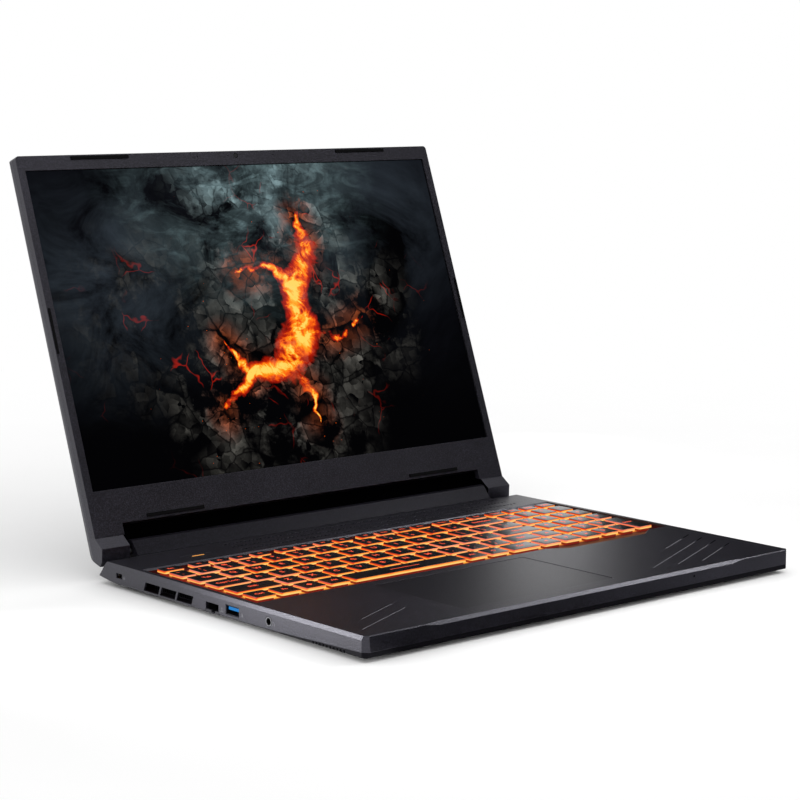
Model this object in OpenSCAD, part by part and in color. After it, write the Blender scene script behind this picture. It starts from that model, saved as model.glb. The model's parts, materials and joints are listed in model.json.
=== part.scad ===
// Notebook computer: a two-shell base with a drop-hinged display lid.
// Millimetres. +X is the user's right, -Y is towards the user and +Z is up.
// The origin is the middle of the footprint, on the plane that the feet stand on.
// Base pieces are drawn from the deck's front edge (y = 0) and its flat top (z = 0).
// Lid pieces are drawn from the hinge axis, with z up along the lid and y to its back.

/* [Base] */
// Width of the base across its side walls
base_w = 360.1; // [356:0.1:440]
// Depth of the deck at its sides, from the front edge to the rear edge
deck_d = 257; // [255:1:320]
// Height of the base from its underside to the deck
base_h = 13; // [13:0.5:18]
// Thickness of the deck and of the bottom cover
skin = 1.4; // [1.2:0.1:1.6]
// Thickness of the side walls
wall = 1.6; // [1.4:0.1:1.8]
// How far the slanted rear end runs back below the deck
rear_slant = 8.4; // [6:0.1:9]
// Size of the upright chamfer on each front corner
corner_cut = 3.4; // [2:0.1:6]
// Width of the chamfer along the top of each side
side_cut_w = 0.75; // [0.3:0.05:1]
// Height of the chamfer along the top of each side
side_cut_h = 2.6; // [2:0.1:3]
// Height of the side wall at the front, above the wedge of the bottom cover
front_split = 9.5; // [8:0.1:10.5]
// Where the wedge of the bottom cover runs out along the side
split_d = 110; // [80:1:130]
// Half the length of the bevel that opens the lid
bevel_half = 124; // [90:1:140]
// Length of each pointed end of that bevel
bevel_tip = 12; // [6:1:16]
// Depth and height of that bevel
bevel_h = 2.2; // [1.5:0.1:2.4]
// Height of the rubber feet
foot_h = 2.6; // [2.5:0.1:5]

/* [Rear block] */
// Gap between each end of the block and the lid's lug
block_gap = 2.7; // [2:0.1:5]
// How far the block reaches behind the deck's edge
block_back = 18; // [17:0.5:19]
// Drop from the deck to the block's top
block_drop = 5; // [4.5:0.1:6]
// Radius of the round back of the hinge cover bar
bar_r = 7.6; // [7:0.1:7.8]
// Thickness of the hinge cover bar
bar_wall = 1.5; // [1.2:0.1:2]

/* [Keyboard] */
// Pitch of the letter keys
unit = 19.05; // [15:0.05:19.5]
// Gap between two key caps
key_gap = 4.1; // [3:0.1:5]
// Height of a key cap's skirt and top
cap_h = 2; // [1.8:0.1:2.4]
// How far a cap stands above the deck
cap_proud = 0.3; // [0.1:0.1:0.5]
// Key travel
key_travel = 1.5; // [1:0.1:1.6]
// Wall of a key cap
cap_wall = 1; // [0.8:0.1:1.2]
// Thickness of a key cap's top
cap_top = 0.7; // [0.6:0.1:0.8]
// Corner radius of a key cap
cap_r = 1.1; // [0.6:0.1:1.6]
// Pitch of the number pad's columns
num_unit = 16.5; // [14:0.1:17]
// Extra gap between two groups of function keys
fn_gap = 4.2; // [3:0.1:6]
// Depth of the keys in the function row
fn_depth = 9.4; // [8:0.1:12]
// Gap between the letter block and the number pad
num_gap = 6.1; // [4:0.1:8]
// Depth of the palm rest, from the deck's front edge to the keyboard
palm_d = 103.6; // [100:0.1:115]
// Run of the slope along the rear edge of the keyboard well
well_slope = 1.3; // [0.8:0.1:2]
// Depth of the keyboard well below the deck
well_depth = 3.6; // [3.5:0.1:4]

/* [Touchpad] */
// Width of the touchpad
pad_w = 125; // [100:1:130]
// Depth of the touchpad
pad_d = 80.6; // [65:0.1:84]
// Distance of the touchpad's centre from the middle, to the left
pad_left = 32; // [20:1:40]
// Gap around the touchpad
pad_gap = 0.3; // [0.25:0.05:0.5]

/* [Lid] */
// How far each side of the lid stands inside the side of the base
lid_inset = 1.45; // [0.5:0.05:2]
// Angle of the lid from the deck, 0 when closed
lid_open = 109.9; // [90:0.1:130]
// Distance of the hinge axis behind the deck's rear edge
axis_back = 11.3; // [11:0.1:12]
// Height of the hinge axis above the deck
axis_up = 1.36; // [1.2:0.02:1.6]
// Gap between the deck and the bezel when the lid is shut
lid_gap = 1; // [0.8:0.05:1.2]
// Thickness of the lid at its free edge
lid_thin = 8.6; // [8:0.1:10]
// Thickness of the lid at the hinge
lid_thick = 11; // [10.8:0.1:11.2]
// Thickness of the lid's back
lid_skin = 1.5; // [1.2:0.1:1.8]
// Depth of the bezel's rim at the lid's sides
bezel_rim = 4.2; // [4:0.1:4.8]
// Border of the bezel on each side of the window
disp_side = 5.6; // [5.2:0.1:15]
// Border of the bezel above the window
disp_top = 10.1; // [8:0.1:12]
// Border of the bezel below the window, measured up from the hinge axis
disp_chin = 41.6; // [35:0.1:50]
// Foot of the bezel above the hinge bar, measured up from the axis
chin_foot = 18.9; // [18:0.1:22]
// Width of each of the lid's two lugs
lug_w = 21.4; // [19:0.1:26]
// Radius of the hinge pins
pin_r = 2; // [1.6:0.1:2.4]
// Radial clearance of the hinge pins in their barrels
pin_fit = 0.05; // [0.02:0.01:0.1]

/* [Ports] */
// Radius of the audio jack's bore
jack_r = 1.8; // [1.75:0.05:1.9]
// Depth of the audio jack's bore
jack_len = 14; // [12:0.5:15]
// Distance of the audio jack from the deck's front edge
jack_y = 87; // [70:1:95]
// Distance of the left USB socket's centre from the deck's front edge
usb_y = 122.5; // [115:0.5:125]
// Distance of the network socket's centre from the deck's front edge
lan_y = 142.7; // [138:0.1:148]
// Distance from the front end of the row of side vents to the deck's rear edge
vent_back = 95; // [90:1:99]
// Length of one side vent
vent_len = 15.9; // [12:0.1:17]
// Rib between two side vents
vent_rib = 1.7; // [1.2:0.1:3]

/* [Cooling] */
// Radius of the fans' blades
fan_r = 31; // [24:1:32]
// Distance of the fans' axes from the sides of the base
fan_side = 62; // [60:1:64]
// Number of blades on each fan
fan_blades = 17; // [11:1:21]
// Pitch of the cooling fins
fin_pitch = 2.4; // [2:0.1:4]

/* [Hidden] */
$fn = 48;
eps = 0.01;
far = 30;
clear = 0.15;
seat = 0.1;
hw = base_w / 2;
lid_w = base_w - 2 * lid_inset;
hl = lid_w / 2;
lug_half = hl - lug_w;
block_half = lug_half - block_gap;
disp_w = lid_w - 2 * disp_side;

// Driving places of the lid
axis_y = deck_d + axis_back;
axis_z = axis_up;
lean = lid_open - 90;
bez_y = lid_gap - axis_up;
rim_y = bez_y + bezel_rim;
lid_len = axis_y;
disp_z1 = lid_len - disp_top;
disp_z0 = disp_chin;
function back_y(z) = bez_y + lid_thick + (lid_thin - lid_thick) * z / lid_len;

// Place of the whole: the middle of its footprint is the origin
front_lip = 0.8;
lid_cut = 1.2;
lid_tip_y = axis_y + back_y(lid_len - lid_cut) * cos(lean) + (lid_len - lid_cut) * sin(lean);
mid_y = (lid_tip_y - front_lip) / 2;
deck_z = base_h + foot_h;

// Base shell
knuckle_r = pin_r + 0.7;
edge = 0.5;
under_cut = 1;
rear_drop = 10.3;
slope_y = deck_d - 12;
floor_z = skin - base_h;
block_y0 = deck_d + 3.5;
block_y1 = deck_d + block_back;
block_foot = base_h - 1;
foot_bar_y = deck_d + 1.8;
bar_crease = 20.4;
bevel_d = 1.5;
lip_in = 2.4;
rear_foot_w = 300;
front_foot_w = 55;
foot_corner = 2;
speaker_slot_y = 17;
speaker_slot_w = 1.5;
speaker_slot_len = 11;
speaker_slot_pitch = 3.1;
air_slot_w = 2.4;
air_slot_pitch = 4.6;
rear_wall = 0.8;
seam_gap = 0.03;
pad_corner = 3;
button_corner = 1.5;
ear_gap = 0.3;
slot_out = 3.5;
slot_in = 21.5;
slot_w = 3.2;

// Keyboard
key_d = unit - key_gap;
main_units = 14.5;
kb_w = main_units * unit - key_gap + num_gap + 4 * num_unit - key_gap;
kb_x = 1.5 - kb_w / 2;
num_x = kb_x + main_units * unit - key_gap + num_gap;
keys_y = palm_d + 9.8;
fn_y = keys_y + 5 * unit - key_gap + 3.65;
main_w = main_units * unit - key_gap;
fn_unit = (main_w + 1 - key_d - 4 * fn_gap) / 15;
fn_group = 4 * fn_unit + fn_gap;
fn_x = kb_x + unit + fn_gap;
nav_x = num_x + 0.1;
well_x0 = kb_x - 7.5;
well_x1 = kb_x + kb_w + 4.4;
well_y1 = fn_y + fn_depth + 4.7;
bay = 8.2;
bay_x0 = kb_x + 12 * unit;
bay_x1 = kb_x + kb_w - num_unit - 10;
tray_t = 0.8;
tray_rim = 2.2;
cap_z = cap_proud - cap_h;
support_top = cap_proud - cap_top - key_travel - clear;
support_in = cap_wall + 0.4;
support_t = 1;
stub_r = 1.8;
stub_drop = 0.1;
bay_left = 14;
bay_right = 12;

// Widths of the keys in each row, in key pitches, from the front row back
row_front = [1, 1, 1, 1, 5, 1, 1, 1.5, 1, 1, 1];
row_lower = [2, 1, 1, 1, 1, 1, 1, 1, 1, 1, 1, 1.5, 1];
row_home = [1.53, 1, 1, 1, 1, 1, 1, 1, 1, 1, 1, 1, 1.97];
row_upper = [1.285, 1, 1, 1, 1, 1, 1, 1, 1, 1, 1, 1, 1, 1.215];
row_digit = [0.785, 1, 1, 1, 1, 1, 1, 1, 1, 1, 1, 1, 1, 1.715];

function sum_to(v, n) = n <= 0 ? 0 : v[n - 1] + sum_to(v, n - 1);
function slice(v, a, b) = [for (i = [a:b]) v[i]];
// A key is [left, front, width, depth]
function row_keys(widths, row) = [
    for (i = [0:len(widths) - 1])
        [kb_x + unit * sum_to(widths, i), keys_y + row * unit, widths[i] * unit - key_gap, key_d]
];
function num_key(col, row, rows = 1) =
    [num_x + col * num_unit, keys_y + row * unit, num_unit - key_gap, rows * unit - key_gap];
function fn_key(x, w) = [x, fn_y, w, fn_depth];

front_keys = row_keys(row_front, 0);
lower_keys = row_keys(row_lower, 1);
home_keys = row_keys(row_home, 2);
upper_keys = row_keys(row_upper, 3);
digit_keys = row_keys(row_digit, 4);
function_keys = concat(
    [fn_key(kb_x, key_d)],
    [for (g = [0:2]) for (i = [0:3])
        fn_key(fn_x + g * fn_group + i * fn_unit, fn_unit - key_gap)]
);
navigation_keys = concat(
    [for (i = [0:2]) fn_key(fn_x + 3 * fn_group + i * fn_unit, fn_unit - key_gap)],
    [for (i = [0:3]) fn_key(nav_x + i * num_unit, num_unit - key_gap)]
);
modifier_keys = concat(slice(front_keys, 0, 3), slice(front_keys, 5, 7));
arrow_keys = concat(slice(front_keys, 8, 10), [lower_keys[12]]);
number_keys = concat(
    [for (r = [2:4]) for (c = [0:3]) num_key(c, r)],
    [for (c = [0:2]) num_key(c, 1)],
    [for (c = [1:2]) num_key(c, 0)]
);
number_enter = num_key(3, 0, 2);
all_keys = concat(front_keys, lower_keys, home_keys, upper_keys, digit_keys,
    function_keys, navigation_keys, number_keys, [number_enter]);

// Touchpad
pad_x0 = -pad_left - pad_w / 2;
pad_y1 = palm_d - 9;
pad_y0 = pad_y1 - pad_d;
pad_t = 1.2;
pad_z = -0.15;
pad_core_t = 1.05;
bracket_z = -4.4;
bracket_t = 0.8;
bracket_side = 6;
bracket_x1 = pad_x0 + pad_w + bracket_side;

// Ports on the left side
usb_w = 12.9;
usb_h = 5.8;
usb_z = -7.75;
usb_depth = 17.4;
usb_skin = 0.35;
right_usb_y = [usb_y, usb_y + 22];
jack_z = -7.6;
jack_body = 6.2;
jack_nose = 2.85;
lan_w = 12;
lan_top = -6.6;
lan_sill = -10.9;
lan_depth = 18;
jaw_w = 13.2;
jaw_len = 9;
jaw_pivot_z = 1 - base_h;
jaw_pivot_x = -hw + jaw_len;
jaw_pin_r = 0.5;
jaw_knuckle_r = 0.9;
jaw_floor = 0.9;
lock_y = deck_d - 14.4;
lock_w = 6.5;
lock_h = 3.2;
lock_z = -7;
vent_top = -6;
vent_bottom = -11.5;
vent_skew = 2.2;
vents = 3;

// Ports and vents at the rear
rear_port_z = -8.9;
hdmi_x = 30;
usbc_x = 2;
dc_x = -36;
dc_w = 11;
dc_h = 4.6;
hdmi_w = 15;
hdmi_h = 4.5;
usbc_w = 8.8;
usbc_h = 3.1;
vent_y = deck_d - vent_back;
fan_x = hw - fan_side;
rear_vent_x0 = fan_x - 32;
rear_vent_n = 5;
rear_vent_w = 8;
rear_vent_pitch = 9.6;
rear_vent_low = -10.6;
rear_shell_t = 0.35;

// Power button
power_w = 24;
power_d = 7.4;
power_x = -hw + 43.7;
power_y = deck_d - 25.7;
light_w = 9.6;
light_d = 1.3;

// Deck perforations
hole_pitch = 3.3;
hole_w = 1.7;
hole_d = 2.4;
hole_x0 = -92;
hole_n = 75;
hole_rows = [deck_d - 25.2, deck_d - 15.6, deck_d - 5.8];

// Inside
board_top = -5;
board_t = 1.2;
board_x = hw - 18.3;
fan_y = deck_d - 52;
fan_top = -4.8;
fan_h = fan_top - floor_z - 2 * seat;
fan_case = 72;
fan_wall = 0.7;
fan_eye_r = fan_r - 9;
axle_r = 1;
spoke_w = 3;
blade_t = 0.8;
blade_lean = -20;
chip_t = 1.2;
plate_t = 1.5;
hub_r = 12;
pipe_w = 5.4;
pipe_t = 2;
pipe_z = board_top - board_t - chip_t - plate_t - seat;
board_foot = board_top - board_t;
board_core = 78;
board_hole_r = 1.3;
board_holes = [
    [-150, palm_d + 48.4], [150, palm_d + 48.4], [-70, deck_d - 17], [70, deck_d - 17]
];
chip_spans = [[-54, -18], [14, 56]];
chip_y0 = deck_d - 78;
chip_y1 = deck_d - 42;
plate_side = 6;
plate_front = [4, 3];
plate_back = 4;
fin_t = 0.3;
fin_base = 0.4;
fin_len = 44;
cell_w = 75.4;
cell_gap = 0.6;
cells_y0 = 11.4;
cells_y1 = palm_d - 9.4;
pack_end = 113;
card_y0 = palm_d + 8;
card_y1 = palm_d + 30;
ssd_x0 = 72;
ssd_x1 = 152;
memory_pitch = 33;
memory_w = 69.6;
wifi_x0 = -96;
wifi_x1 = -66;
chamber_in = 6;
chamber_x = 126;
ribbon_t = 0.2;
screws = [
    [-hw + 20, 9], [0, 6.6], [hw - 20, 9],
    [-119.6, palm_d - 18], [(bracket_x1 + bay_x0) / 2, palm_d - 5.4], [119.6, palm_d - 18],
    [-hw + 15, deck_d - 20], [hw - 15, deck_d - 20],
    [-70, deck_d + 9.2], [70, deck_d + 9.2]
];
screw_r = 0.8;
screw_len = 5;
screw_head_r = 1.9;
screw_head_t = 0.6;
boss_r = 2.4;
boss_drop = 0.5;

// ---------------------------------------------------------------- helpers

// Puts a base piece in the shared frame
module in_base() {
    translate([0, -mid_y, deck_z]) children();
}

// Puts a lid piece in the shared frame, at the lid's angle
module in_lid() {
    in_base() translate([0, axis_y, axis_z]) rotate([-lean, 0, 0]) children();
}

// A solid and its mirror image on the other side of the middle
module both_sides() {
    children();
    mirror([1, 0, 0]) children();
}

// Extrudes a side-view outline of [y, z] points from x0 to x1
module side_prism(points, x0, x1) {
    translate([x0, 0, 0]) rotate([90, 0, 90]) linear_extrude(x1 - x0) polygon(points);
}

// Extrudes a front-view outline of [x, z] points from y0 to y1
module front_prism(points, y0, y1) {
    translate([0, y1, 0]) rotate([90, 0, 0]) linear_extrude(y1 - y0) polygon(points);
}

// A box from one corner to the opposite one
module box(low, high) {
    translate(low) cube(high - low);
}

// A cylinder along X from x0 to x1
module x_rod(r, x0, x1, y, z) {
    translate([x0, y, z]) rotate([0, 90, 0]) cylinder(r = r, h = x1 - x0);
}

// A rectangle with round corners
module round_rect(w, d, r) {
    translate([r, 0]) square([w - 2 * r, d]);
    translate([0, r]) square([w, d - 2 * r]);
    for (x = [r, w - r])
        for (y = [r, d - r])
            translate([x, y]) circle(r);
}

// ---------------------------------------------------------------- base shells

// Side view of the base at its ends, without the block between the lugs
base_side = [
    [0.8, -base_h], [-0.4, -base_h + 0.8], [-front_lip, -front_split],
    [-edge, -edge], [0, 0],
    [deck_d, 0], [deck_d + rear_slant, -rear_drop], [slope_y, -base_h]
];
// Front view of the base
base_front = [
    [-hw + side_cut_w, 0], [hw - side_cut_w, 0], [hw, -side_cut_h],
    [hw, -base_h + under_cut], [hw - under_cut, -base_h],
    [-hw + under_cut, -base_h], [-hw, -base_h + under_cut], [-hw, -side_cut_h]
];
// Plan of the base, with its two cut front corners
base_plan = [
    [-hw, corner_cut - front_lip], [-hw + corner_cut, -front_lip],
    [hw - corner_cut, -front_lip], [hw, corner_cut - front_lip],
    [hw, deck_d + far], [-hw, deck_d + far]
];
// Side view of the block between the lugs
block_side = [
    [slope_y, -base_h], [slope_y, 0], [block_y0, 0], [block_y0, -block_drop],
    [block_y1, -block_drop], [block_y1, -block_foot], [block_y0, -base_h]
];

module base_outside() {
    intersection() {
        side_prism(base_side, -hw, hw);
        front_prism(base_front, -far, deck_d + far);
        translate([0, 0, -base_h - 1]) linear_extrude(base_h + 2) polygon(base_plan);
    }
    side_prism(block_side, -block_half, block_half);
}

// Room for the hinge cover bar on top of the block
module bar_room() {
    box([-block_half, block_y0, -block_drop], [block_half, block_y1 + 1, 1]);
}

// The hollow of the base, open at the bottom
module base_inside() {
    rear_in = deck_d - rear_wall;
    past = 1.15;
    side_prism([
        [lip_in, -skin], [rear_in, -skin], [rear_in + rear_slant * past, -skin - rear_drop * past],
        [rear_in + rear_slant * past, -far], [lip_in, -far]
    ], -hw + wall, hw - wall);
    side_prism([
        [slope_y - 5, -skin], [block_y0 - wall, -skin], [block_y0 - wall, -block_drop - skin],
        [block_y1 - wall, -block_drop - skin], [block_y1 - wall, -far], [slope_y - 5, -far]
    ], -block_half + wall, block_half - wall);
}

// Everything below the slanted seam between the side wall and the bottom cover
module below_seam() {
    side_prism([
        [-front_lip - 1, -front_split + seam_gap], [-front_lip - 1, -far],
        [split_d, -far], [split_d, -base_h]
    ], -hw - 1, hw + 1);
}

// The bevel in the front edge, with a pointed facet at each end
module front_bevel() {
    dip = atan(bevel_h / (bevel_d + front_lip));
    run = atan(bevel_d / bevel_tip);
    side_prism([
        [bevel_d, 0], [bevel_d, 1], [-3, 1], [-3, -5], [-front_lip - eps, -bevel_h - eps]
    ], -bevel_half, bevel_half);
    both_sides() intersection() {
        box([-bevel_half - bevel_tip, -5, -5], [-bevel_half + eps, 5, 3]);
        translate([-bevel_half - bevel_tip, 0, 0])
            rotate([0, 0, run])
                rotate([dip, 0, 0])
                    translate([-1, -8, 0])
                        cube([bevel_tip + 4, 8, 6]);
    }
}

// Outline of the keyboard well, grown by m and short by s at the rear, with the bay before the arrow keys
function well_outline(m, s = 0) = [
    [well_x0 - m, well_y1 + m - s], [well_x0 - m, palm_d - m], [bay_x0 - m, palm_d - m],
    [bay_x0 + bay_left - m, palm_d - bay - m], [bay_x1 + m, palm_d - bay - m],
    [bay_x1 + bay_right + m, palm_d - m], [well_x1 + m, palm_d - m], [well_x1 + m, well_y1 + m - s]
];

// The slope from the deck down to the well behind the function row
module well_rear_slope() {
    low_y = well_y1 - well_slope;
    side_prism([
        [low_y - eps, 1], [low_y - eps, -skin], [low_y, -skin], [well_y1, 0], [well_y1, 1]
    ], well_x0, well_x1);
}

module perforations() {
    for (y = hole_rows)
        for (i = [0:hole_n - 1])
            translate([hole_x0 + i * hole_pitch, y - hole_d / 2, -skin - 1])
                cube([hole_w, hole_d, skin + 2]);
}

// One row of slanted vents through a side wall
module side_vents(x0, x1) {
    for (i = [0:vents - 1]) {
        y0 = vent_y + i * (vent_len + vent_rib);
        side_prism([
            [y0, vent_top], [y0 + vent_len, vent_top],
            [y0 + vent_len + vent_skew, vent_bottom], [y0 + vent_skew, vent_bottom]
        ], x0, x1);
    }
}

module usb_window(y, x0, x1) {
    box([x0, y - usb_w / 2 - clear, usb_z - usb_h / 2 - clear],
        [x1, y + usb_w / 2 + clear, usb_z + usb_h / 2 + clear]);
}

module wall_openings() {
    side_vents(-hw - 1, -hw + wall + 1);
    side_vents(hw - wall - 1, hw + 1);
    usb_window(usb_y, -hw - 1, -hw + wall + 1);
    for (y = right_usb_y)
        usb_window(y, hw - wall - 1, hw + 1);
    x_rod(jack_nose + clear, -hw - 1, -hw + wall + 1, jack_y, jack_z);
    box([-hw - 1, lan_y - lan_w / 2 - 0.5, lan_sill], [-hw + wall + 1, lan_y + lan_w / 2 + 0.5, lan_top]);
    box([-hw - 1, lan_y - jaw_w / 2 - ear_gap, -base_h - 1],
        [-hw + wall + 1, lan_y + jaw_w / 2 + ear_gap, lan_sill + eps]);
    box([-hw - 1, lock_y - lock_w / 2, lock_z - lock_h / 2],
        [-hw + wall + 1, lock_y + lock_w / 2, lock_z + lock_h / 2]);
    both_sides() for (i = [0:rear_vent_n - 1]) {
        x0 = rear_vent_x0 + i * rear_vent_pitch;
        box([x0, block_y1 - wall - 1, rear_vent_low],
            [x0 + rear_vent_w, block_y1 + 1, -block_drop - skin - 0.4]);
    }
    rear_windows();
}

module rear_window(x, w, h) {
    box([x - w / 2 - clear, block_y1 - wall - 1, rear_port_z - h / 2 - clear],
        [x + w / 2 + clear, block_y1 + 1, rear_port_z + h / 2 + clear]);
}

module rear_windows() {
    rear_window(hdmi_x, hdmi_w, hdmi_h);
    rear_window(usbc_x, usbc_w, usbc_h);
    rear_window(dc_x, dc_w, dc_h);
}

// Slots in the block's top that the hinge brackets rise through
module bracket_slots() {
    both_sides() box([block_half - slot_in, axis_y - slot_w / 2, -block_drop - skin - 1],
        [block_half - slot_out, axis_y + slot_w / 2, -block_drop + bar_wall + 1]);
}

module top_case() color("#3a3a3d") in_base() {
    difference() {
        union() {
            difference() {
                base_outside();
                base_inside();
            }
            for (p = screws)
                translate([p.x, p.y, floor_z + seat])
                    cylinder(r = boss_r, h = base_h - skin - seat - boss_drop - (p.y > deck_d ? block_drop : 0));
        }
        below_seam();
        bar_room();
        front_bevel();
        translate([0, 0, -skin - 1]) linear_extrude(skin + 2) polygon(well_outline(0, well_slope));
        well_rear_slope();
        translate([pad_x0 - pad_gap, pad_y0 - pad_gap, -skin - 1])
            linear_extrude(skin + 2) round_rect(pad_w + 2 * pad_gap, pad_d + 2 * pad_gap, pad_corner);
        perforations();
        wall_openings();
        bracket_slots();
        for (p = screws)
            translate([p.x, p.y, floor_z - 1]) cylinder(r = screw_r + seat, h = screw_len + 0.6);
        translate([power_x, power_y, -skin - 1]) linear_extrude(skin + 2)
            round_rect(power_w, power_d, button_corner);
    }
}

// The bottom cover: a plate inside the walls, and a wedge that shows at the front
module bottom_cover() color("#1b1b1d") in_base() {
    difference() {
        union() {
            intersection() {
                base_outside();
                below_seam();
            }
            intersection() {
                base_outside();
                union() {
                    box([-hw + wall + clear, lip_in + clear, -far], [hw - wall - clear, slope_y, floor_z]);
                    box([-block_half + wall + clear, slope_y - 1, -far],
                        [block_half - wall - clear, block_y1 - wall - clear, floor_z]);
                    both_sides() side_prism([
                        [slope_y - 1, -far], [slope_y - 1, floor_z], [slope_y, floor_z],
                        [deck_d + 5, floor_z + 2.2], [deck_d + 5, -far]
                    ], block_half, hw - wall - clear);
                    both_sides() box([block_half - wall - clear - 1, slope_y - 1, -far],
                        [block_half + 1, deck_d - 1, floor_z]);
                }
            }
        }
        // The hollow above the plate, which leaves the wedge as a rim
        box([-hw + wall, lip_in, floor_z], [hw - wall, split_d + 10, 0]);
        for (p = screws) translate([p.x, p.y, -base_h - 1]) {
            cylinder(r = screw_r + 0.2, h = 8);
            cylinder(r = screw_head_r + 0.2, h = screw_head_t + 1.1);
        }
        box([-hw - 1, lan_y - jaw_w / 2 - ear_gap, -base_h - 1],
            [jaw_pivot_x + 1.6, lan_y + jaw_w / 2 + ear_gap, 0]);
        both_sides() for (i = [0:9])
            box([-hw - 1, speaker_slot_y + i * speaker_slot_pitch, -base_h - 1],
                [-hw + speaker_slot_len, speaker_slot_y + speaker_slot_w + i * speaker_slot_pitch,
                    floor_z + 0.5]);
        both_sides() for (i = [0:11])
            box([fan_x - 28 + i * air_slot_pitch, fan_y - 24, -base_h - 1],
                [fan_x - 28 + air_slot_w + i * air_slot_pitch, fan_y + 12, floor_z + 1]);
    }
}

module rubber_feet() color("#101011") in_base() {
    low = -base_h - foot_h;
    translate([-rear_foot_w / 2, deck_d - 35, low])
        linear_extrude(foot_h) round_rect(rear_foot_w, 9, foot_corner);
    both_sides() translate([95, 44, low])
        linear_extrude(foot_h) round_rect(front_foot_w, 8, foot_corner);
}

module bottom_screws() color("#2a2a2a") in_base() {
    for (p = screws)
        translate([p.x, p.y, -base_h + 0.1]) difference() {
            union() {
                cylinder(r = screw_head_r, h = screw_head_t);
                cylinder(r = screw_r, h = screw_len);
            }
            for (a = [0, 90])
                rotate(a) translate([-1.2, -0.25, -1]) cube([2.4, 0.5, 1.3]);
        }
}

// ---------------------------------------------------------------- keyboard

module keyboard_tray() color("#26140f") in_base() {
    floor_low = -well_depth - tray_t;
    difference() {
        translate([0, 0, floor_low]) linear_extrude(-skin - floor_low) polygon(well_outline(tray_rim));
        translate([0, 0, -well_depth]) linear_extrude(well_depth) polygon(well_outline(tray_rim - 1));
    }
}

// One rigid stand-in for a key's scissor link and rubber dome
module key_support(k) {
    h = support_top + well_depth;
    inner = support_in + support_t;
    room = min(k[2], k[3]) / 2 - inner;
    translate([k[0], k[1], -well_depth]) {
        difference() {
            translate([support_in, support_in, 0]) cube([k[2] - 2 * support_in, k[3] - 2 * support_in, h]);
            translate([inner, inner, -1]) cube([k[2] - 2 * inner, k[3] - 2 * inner, h + 2]);
        }
        translate([k[2] / 2, k[3] / 2, 0]) cylinder(r = min(stub_r, room - 0.2), h = h - stub_drop);
    }
}

module key_supports() color("#c8642a") in_base() {
    for (k = all_keys)
        key_support(k);
}

// A key cap: a hollow box with round corners
module key_cap(k) {
    translate([k[0], k[1], cap_z]) difference() {
        linear_extrude(cap_h) round_rect(k[2], k[3], cap_r);
        translate([cap_wall, cap_wall, -1])
            cube([k[2] - 2 * cap_wall, k[3] - 2 * cap_wall, cap_h - cap_top + 1]);
    }
}

module key_caps(keys) {
    color("#17181a") in_base() for (k = keys)
        key_cap(k);
}

// ---------------------------------------------------------------- touchpad

module touchpad() color("#2b2b2e") in_base() {
    low = pad_z - pad_t;
    translate([pad_x0, pad_y0, low]) linear_extrude(pad_t) round_rect(pad_w, pad_d, pad_corner - pad_gap);
    box([pad_x0 + 4, pad_y0 + 4, low - pad_core_t], [pad_x0 + pad_w - 4, pad_y1 - 4, low]);
}

module touchpad_bracket() color("#8a8c8f") in_base() {
    x0 = pad_x0 - bracket_side;
    x1 = bracket_x1;
    y0 = pad_y0 - 5;
    y1 = pad_y1 + 3.5;
    difference() {
        box([x0, y0, bracket_z], [x1, y1, -skin]);
        box([x0 + 4, -1, bracket_z + bracket_t], [x1 - 4, y1 + 5, 0]);
        box([x0 - 5, pad_y0 + 1, bracket_z + bracket_t], [x1 + 5, pad_y1 - 6, 0]);
    }
    // The switch under the front edge
    translate([-pad_left, pad_y0 + 6, bracket_z + bracket_t]) cylinder(r = 2.4, h = 0.35);
}

// ---------------------------------------------------------------- hinges

// Side view of the hinge cover bar: a flat slope up to a crease, in front of a round back
crease_r = bar_r - 0.1;
foot = [foot_bar_y, 0];
crease = [axis_y - crease_r * sin(bar_crease), axis_z + crease_r * cos(bar_crease)];
slope_way = (crease - foot) / norm(crease - foot);
bar_side = [foot, crease, [axis_y, axis_z], [axis_y, -block_drop], [block_y0, -block_drop], [block_y0, 0]];
// What the slope takes off the round part
bar_front_cut = [foot, crease + 3 * slope_way, [foot_bar_y - 2, bar_r + 3], [foot_bar_y - 2, 0]];
// Side view of the hollow, one wall behind the slope
hollow_foot = foot + bar_wall * [slope_way.y, -slope_way.x];
bar_hollow = [
    hollow_foot, hollow_foot + 30 * slope_way, [axis_y + 20, 30], [axis_y + 20, bar_wall - block_drop],
    [hollow_foot.x, bar_wall - block_drop]
];

module hinge_cover_bar() color("#2a2a2e") in_base() {
    difference() {
        union() {
            x_rod(bar_r, -block_half, block_half, axis_y, axis_z);
            side_prism(bar_side, -block_half, block_half);
        }
        side_prism(bar_front_cut, -block_half - 1, block_half + 1);
        box([-block_half - 1, deck_d, -far], [block_half + 1, block_y0, 0]);
        box([-block_half - 1, deck_d, -far], [block_half + 1, block_y1 + 5, -block_drop]);
        intersection() {
            x_rod(bar_r - bar_wall, -block_half + bar_wall, block_half - bar_wall, axis_y, axis_z);
            side_prism(bar_hollow, -block_half, block_half);
        }
        both_sides() x_rod(pin_r + 0.4, block_half - bar_wall - 1, block_half + 1, axis_y, axis_z);
        bracket_slots();
    }
}

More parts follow.
